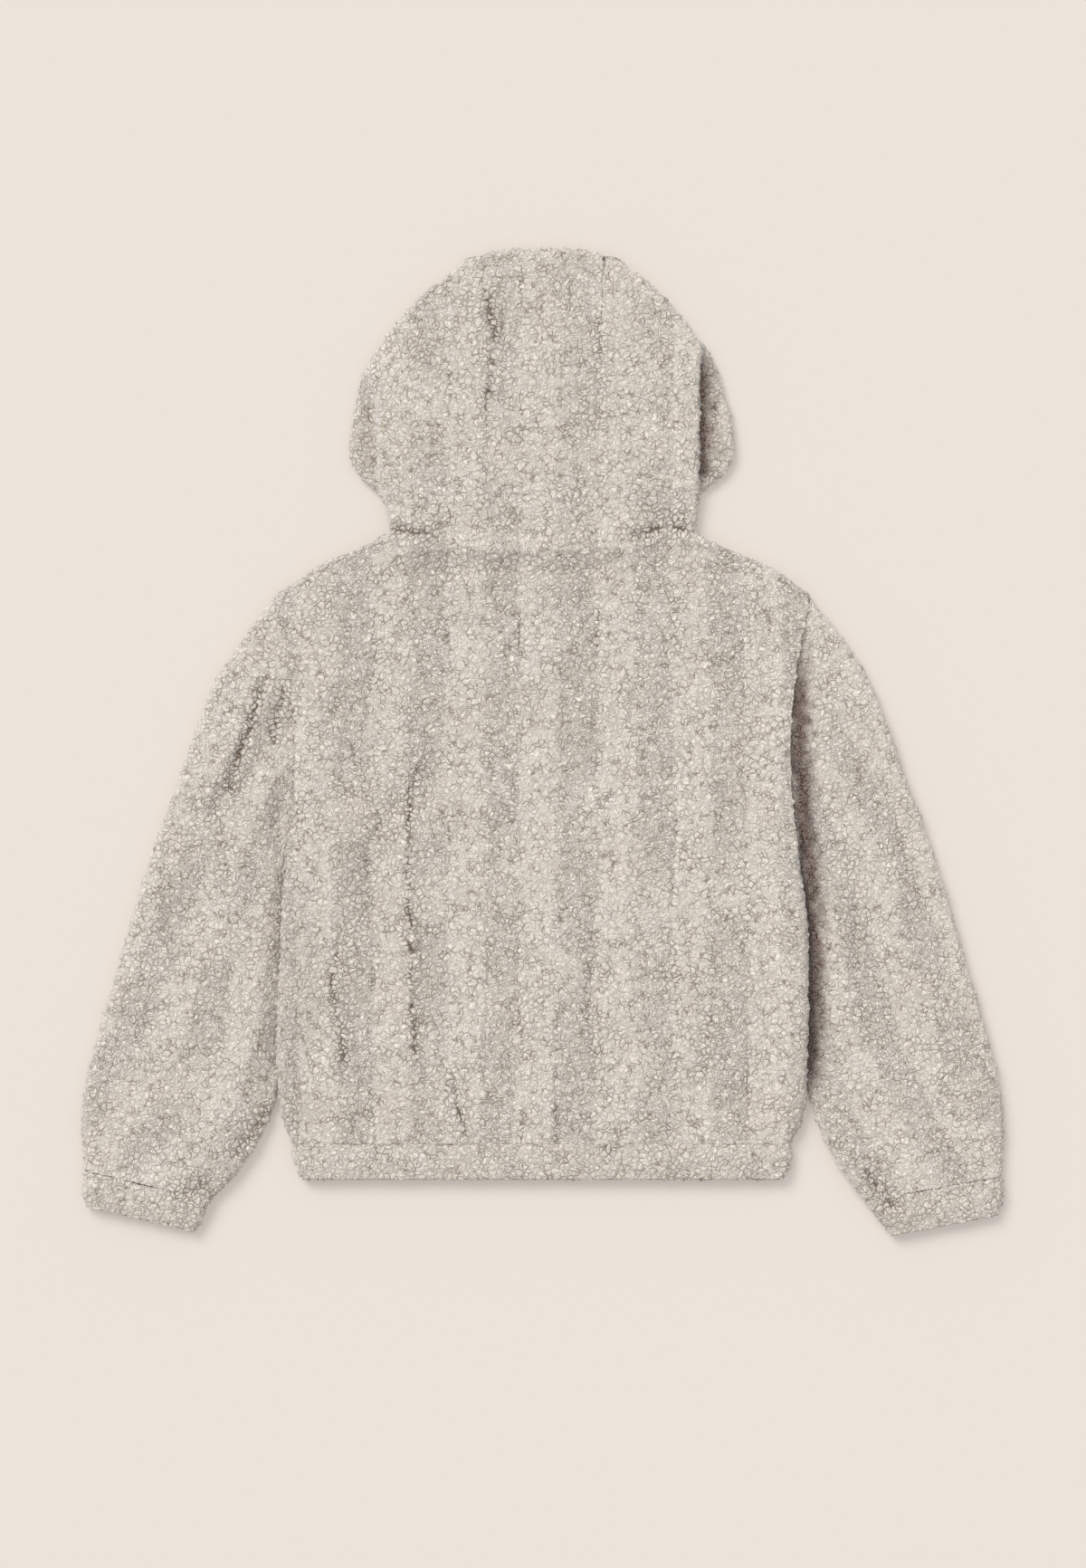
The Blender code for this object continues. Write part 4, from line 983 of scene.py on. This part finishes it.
fleece = fleece_material()
sleeve_strips = tuple((middle, SLEEVE_STRIP_HALF) for middle in SLEEVE_STRIPS)
panels = {"back": make_cloth("back", *back_sheets(), seed=1)}
for name, side, seed in (("left", -1.0, 2), ("right", 1.0, 3)):
    panels["front_" + name] = make_cloth("front_" + name, *front_sheets(side), seed=seed)
    outer, inner, edge, across = tube_sheets(SLEEVE, side, SLEEVE_ROWS)
    panels["sleeve_" + name] = make_cloth("sleeve_" + name, outer, inner, edge, seed + 4, across, True,
                                          sleeve_strips, roll=0.7)
    outer, inner, edge, across = tube_sheets(CUFF, side, CUFF_ROWS)
    panels["cuff_" + name] = make_cloth("cuff_" + name, outer, inner, edge, seed + 8, across, True, (),
                                        base=0.3, swell=0.3, roll=0.7)
    panels["hood_" + name] = make_cloth("hood_" + name, *hood_side_sheets(name, side), seed=seed + 12,
                                        strip_strength=HOOD_STRIPS)
panels["hem_band"] = make_cloth("hem_band", *hem_sheets(), seed=20, strips=(), base=0.25, swell=0.3)
panels["hood_centre"] = make_cloth("hood_centre", *hood_centre_sheets(), seed=21, strip_strength=HOOD_STRIPS)


# ---- zip, on the side that lies down
TOOTH_PITCH = 2.5
TOOTH_HALF = 0.55
TOOTH_HOOK = 0.9      # how far a tooth reaches over the middle
CHAIN_HALF = 2.9
CHAIN_Y = (-453.7, 134.0)
CHAIN_Z = (7.1, 9.5)
BOX_Y = (-462.0, -454.0)
BOX_Z = (6.7, 9.9)
SLIDER_Y = (129.0, 142.0)
SLIDER_HALF = 4.5
SLIDER_PLATES = ((5.7, 6.9), (9.7, 10.9))
FLANGE = 0.9          # width of the slider's sides
POST = (2.4, 138.0, 141.5)          # half width, nearest and farthest y
HINGE = (136.0, 3.9)                # y and z of the pull's hinge line
EYE_RADIUS = 1.55
EYE_TUBE = 0.45
EYE_HALF = 1.2
PULL_HALF = (3.5, 13.0)             # half width and half length
PULL_MIDDLE = -12.4                 # its middle, from the hinge line
PULL_TAPER = 0.12
PULL_THICK = 0.6                    # half its thickness
PULL_SIDES = 48
PULL_SQUARE = 0.35                  # 1 is an ellipse, 0 a rectangle
PULL_RIM = ((0.35, 1.0), (0.1, 0.8), (0.0, 0.4), (0.0, -0.4), (0.1, -0.8), (0.35, -1.0))
SLOT_RIM = ((0.3, -1.0), (0.08, -0.8), (0.0, -0.4), (0.0, 0.4), (0.08, 0.8), (0.3, 1.0))
SLOT_HALF = (1.7, 1.6)
SLOT_MIDDLE = -2.2
TAPE_X = (3.2, 17.0)
TAPE_Y = (-462.0, 147.0)
TAPE_Z = (7.8, 8.8)
TAPE_CORD = (1.3, 0.35)             # its width, and how far it stands out of the tape


def add_piece(name, form, material, body, node):
    """A finished piece from a bmesh in millimetres; it takes its CAD node's place."""
    bmesh.ops.scale(form, vec=(MM, MM, MM), verts=form.verts)
    mesh = bpy.data.meshes.new(name)
    form.to_mesh(mesh)
    form.free()
    mesh.materials.append(material)
    made = add_object(name, mesh)
    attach(made, body)
    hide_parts(node)
    return made


def add_block(form, low, high, round_off, segments=1):
    """A box between two corners, in either order along X, with its edges taken off."""
    low, high = np.array(low, float), np.array(high, float)
    made = bmesh.ops.create_cube(form, size=1.0)["verts"]
    for vertex in made:
        vertex.co = (low + high) / 2 + np.abs(high - low) * np.array(vertex.co)
    edges = list({edge for vertex in made for edge in vertex.link_edges})
    bmesh.ops.bevel(form, geom=edges, offset=round_off, segments=segments, affect="EDGES", profile=0.5)


def make_chain():
    """Two rows of interlocking teeth, and the cord that each row is clamped on."""
    form = bmesh.new()
    low, high = CHAIN_Z
    count = int((CHAIN_Y[1] - CHAIN_Y[0]) / (TOOTH_PITCH / 2))
    for k in range(count):
        side = 1.0 if k % 2 else -1.0
        y = CHAIN_Y[0] + (k + 0.5) * TOOTH_PITCH / 2
        add_block(form, (-side * TOOTH_HOOK, y - TOOTH_HALF, low), (side * CHAIN_HALF, y + TOOTH_HALF, high),
                  0.22)
    for side in (-1.0, 1.0):
        add_block(form, (side * TOOTH_HOOK, CHAIN_Y[0], low + 0.7),
                  (side * (CHAIN_HALF - 0.4), CHAIN_Y[1], high - 0.7), 0.3)
    return form


def make_box():
    """The bottom stop, with a raised grip line near each end."""
    form = bmesh.new()
    low, high = BOX_Z
    add_block(form, (-CHAIN_HALF, BOX_Y[0], low + 0.3), (CHAIN_HALF, BOX_Y[1], high - 0.3), 0.5, 3)
    for y in (BOX_Y[0] + 1.6, BOX_Y[1] - 1.8):
        add_block(form, (-CHAIN_HALF, y - 0.9, low), (CHAIN_HALF, y + 0.9, high), 0.4, 2)
    return form


def add_ring(form, radius, tube, half):
    """The bail's eye: a ring around the hinge line, drawn out to its width along X."""
    sides, turns = 32, 12
    rings = []
    for k in range(sides):
        angle = 2 * math.pi * k / sides
        ring = []
        for j in range(turns):
            lean = 2 * math.pi * j / turns
            wide = math.copysign(abs(math.sin(lean)) ** 0.6, math.sin(lean)) * half
            reach = radius + tube * math.cos(lean)
            ring.append(form.verts.new((wide, HINGE[0] + reach * math.cos(angle),
                                        HINGE[1] + reach * math.sin(angle))))
        rings.append(ring)
    join_rings(form, rings, turns)


def join_rings(form, rings, count):
    for near, far in zip(rings, rings[1:] + rings[:1]):
        for k in range(count):
            after = (k + 1) % count
            form.faces.new((near[k], near[after], far[after], far[k]))


def make_slider():
    """Two plates with flanged sides, the post between them and the bail on the outer one."""
    form = bmesh.new()
    (near, far), (low, high) = SLIDER_Y, SLIDER_PLATES
    for bottom, top in SLIDER_PLATES:
        add_block(form, (-SLIDER_HALF, near, bottom), (SLIDER_HALF, far, top), 0.45, 3)
    for side in (-1.0, 1.0):
        for bottom, top in ((low[0] + 0.2, low[1] + 0.6), (high[0] - 0.6, high[1] - 0.2)):
            add_block(form, (side * SLIDER_HALF, near + 0.6, bottom),
                      (side * (SLIDER_HALF - FLANGE), far - 3.0, top), 0.25, 2)
    add_block(form, (-POST[0], POST[1], low[0] + 0.4), (POST[0], POST[2], high[1] - 0.4), 0.4, 2)
    add_ring(form, EYE_RADIUS, EYE_TUBE, EYE_HALF)
    bmesh.ops.recalc_face_normals(form, faces=form.faces)
    return form


def make_pull():
    """A flat tab with a slot; its top bar lies in the bail's eye. Rounded rims all round."""
    outline, slot = [], []
    half, length = PULL_HALF
    for k in range(PULL_SIDES):
        angle = 2 * math.pi * k / PULL_SIDES
        cosine, sine = math.cos(angle), math.sin(angle)
        wide = math.copysign(abs(cosine) ** PULL_SQUARE, cosine)
        tall = math.copysign(abs(sine) ** PULL_SQUARE, sine)
        taper = 1.0 - PULL_TAPER * (0.5 - 0.5 * tall)
        outline.append((half * wide * taper, PULL_MIDDLE + length * tall))
        slot.append((SLOT_HALF[0] * wide, SLOT_MIDDLE + SLOT_HALF[1] * tall))
    form, rings = bmesh.new(), []
    sides = ((outline, PULL_MIDDLE, PULL_RIM, -1.0), (slot, SLOT_MIDDLE, SLOT_RIM, 1.0))
    for edge, middle, rims, sign in sides:
        edge = np.array(edge)
        away = edge - np.array((0.0, middle))
        away /= np.linalg.norm(away, axis=1, keepdims=True)
        for rim, height in rims:
            rings.append([form.verts.new((x, y + HINGE[0], HINGE[1] + PULL_THICK * height))
                          for x, y in edge + sign * rim * away])
    join_rings(form, rings, PULL_SIDES)
    bmesh.ops.recalc_face_normals(form, faces=form.faces)
    return form


def make_tape(side):
    """One tape, with the cord along its inner edge."""
    form = bmesh.new()
    (near, far), (low, high) = TAPE_X, TAPE_Z
    for end, more in ((far, 0.0), (near + TAPE_CORD[0], TAPE_CORD[1])):
        add_block(form, (side * near, TAPE_Y[0], low - more), (side * end, TAPE_Y[1], high + more), 0.3, 2)
    return form


metal, tape = metal_material(), tape_material()
add_piece("zip_chain_teeth", make_chain(), metal, "jacket", "zip_chain")
add_piece("zip_box_stop", make_box(), metal, "jacket", "zip_box")
add_piece("zip_slider_body", make_slider(), metal, "jacket", "zip_slider")
add_piece("zip_pull_tab", make_pull(), metal, "pull", "zip_pull")
for name, side in (("left", -1.0), ("right", 1.0)):
    strip = add_piece("zip_tape_" + name + "_cloth", make_tape(side), tape, "jacket", "zip_tape_" + name)


# ---- stage
FLOOR_HALF = 5.0
floor = bpy.data.meshes.new("floor")
corners = [(x * FLOOR_HALF, y * FLOOR_HALF, 0) for x, y in ((-1, -1), (1, -1), (1, 1), (-1, 1))]
floor.from_pydata(corners, [], [(0, 1, 2, 3)])
ground = add_object("floor", floor)
made, g, shader = new_material("pale_floor", 0.9, Specular_IOR_Level=0.1)
shader.inputs["Base Color"].default_value = FLOOR_COLOUR
shader.inputs["Emission Color"].default_value = FLOOR_GLOW
shader.inputs["Emission Strength"].default_value = 1.0
floor.materials.append(made)

# ---- light and camera
KEY_FROM = (-0.42, 0.56, 0.72)
KEY_STRENGTH, KEY_SPREAD = 1.75, 32.0
SKY_STRENGTH = 0.70
sun = bpy.data.lights.new("key", "SUN")
sun.energy, sun.angle = KEY_STRENGTH, math.radians(KEY_SPREAD)
sun.color = (1.0, 0.985, 0.965)
key = add_object("key", sun)
key.rotation_euler = Vector(KEY_FROM).to_track_quat("Z", "Y").to_euler()
world = bpy.data.worlds.new("studio")
bpy.context.scene.world = world
world.use_nodes = True
sky = world.node_tree.nodes["Background"]
sky.inputs["Color"].default_value = (0.99, 0.995, 1.0, 1.0)
sky.inputs["Strength"].default_value = SKY_STRENGTH

FRAME_HEIGHT = 1.6627     # what the photo's height spans at the jacket, in metres
CAMERA_FAR = 3.2
CAMERA_OVER = (0.0005, -0.0451)
camera = bpy.data.cameras.new("camera")
camera.sensor_width = 36.0
camera.lens = camera.sensor_width * CAMERA_FAR / FRAME_HEIGHT
eye = add_object("camera", camera)
eye.location = (*CAMERA_OVER, CAMERA_FAR + LAID * MM)
bpy.context.scene.camera = eye
bpy.context.scene.view_settings.view_transform = "Standard"
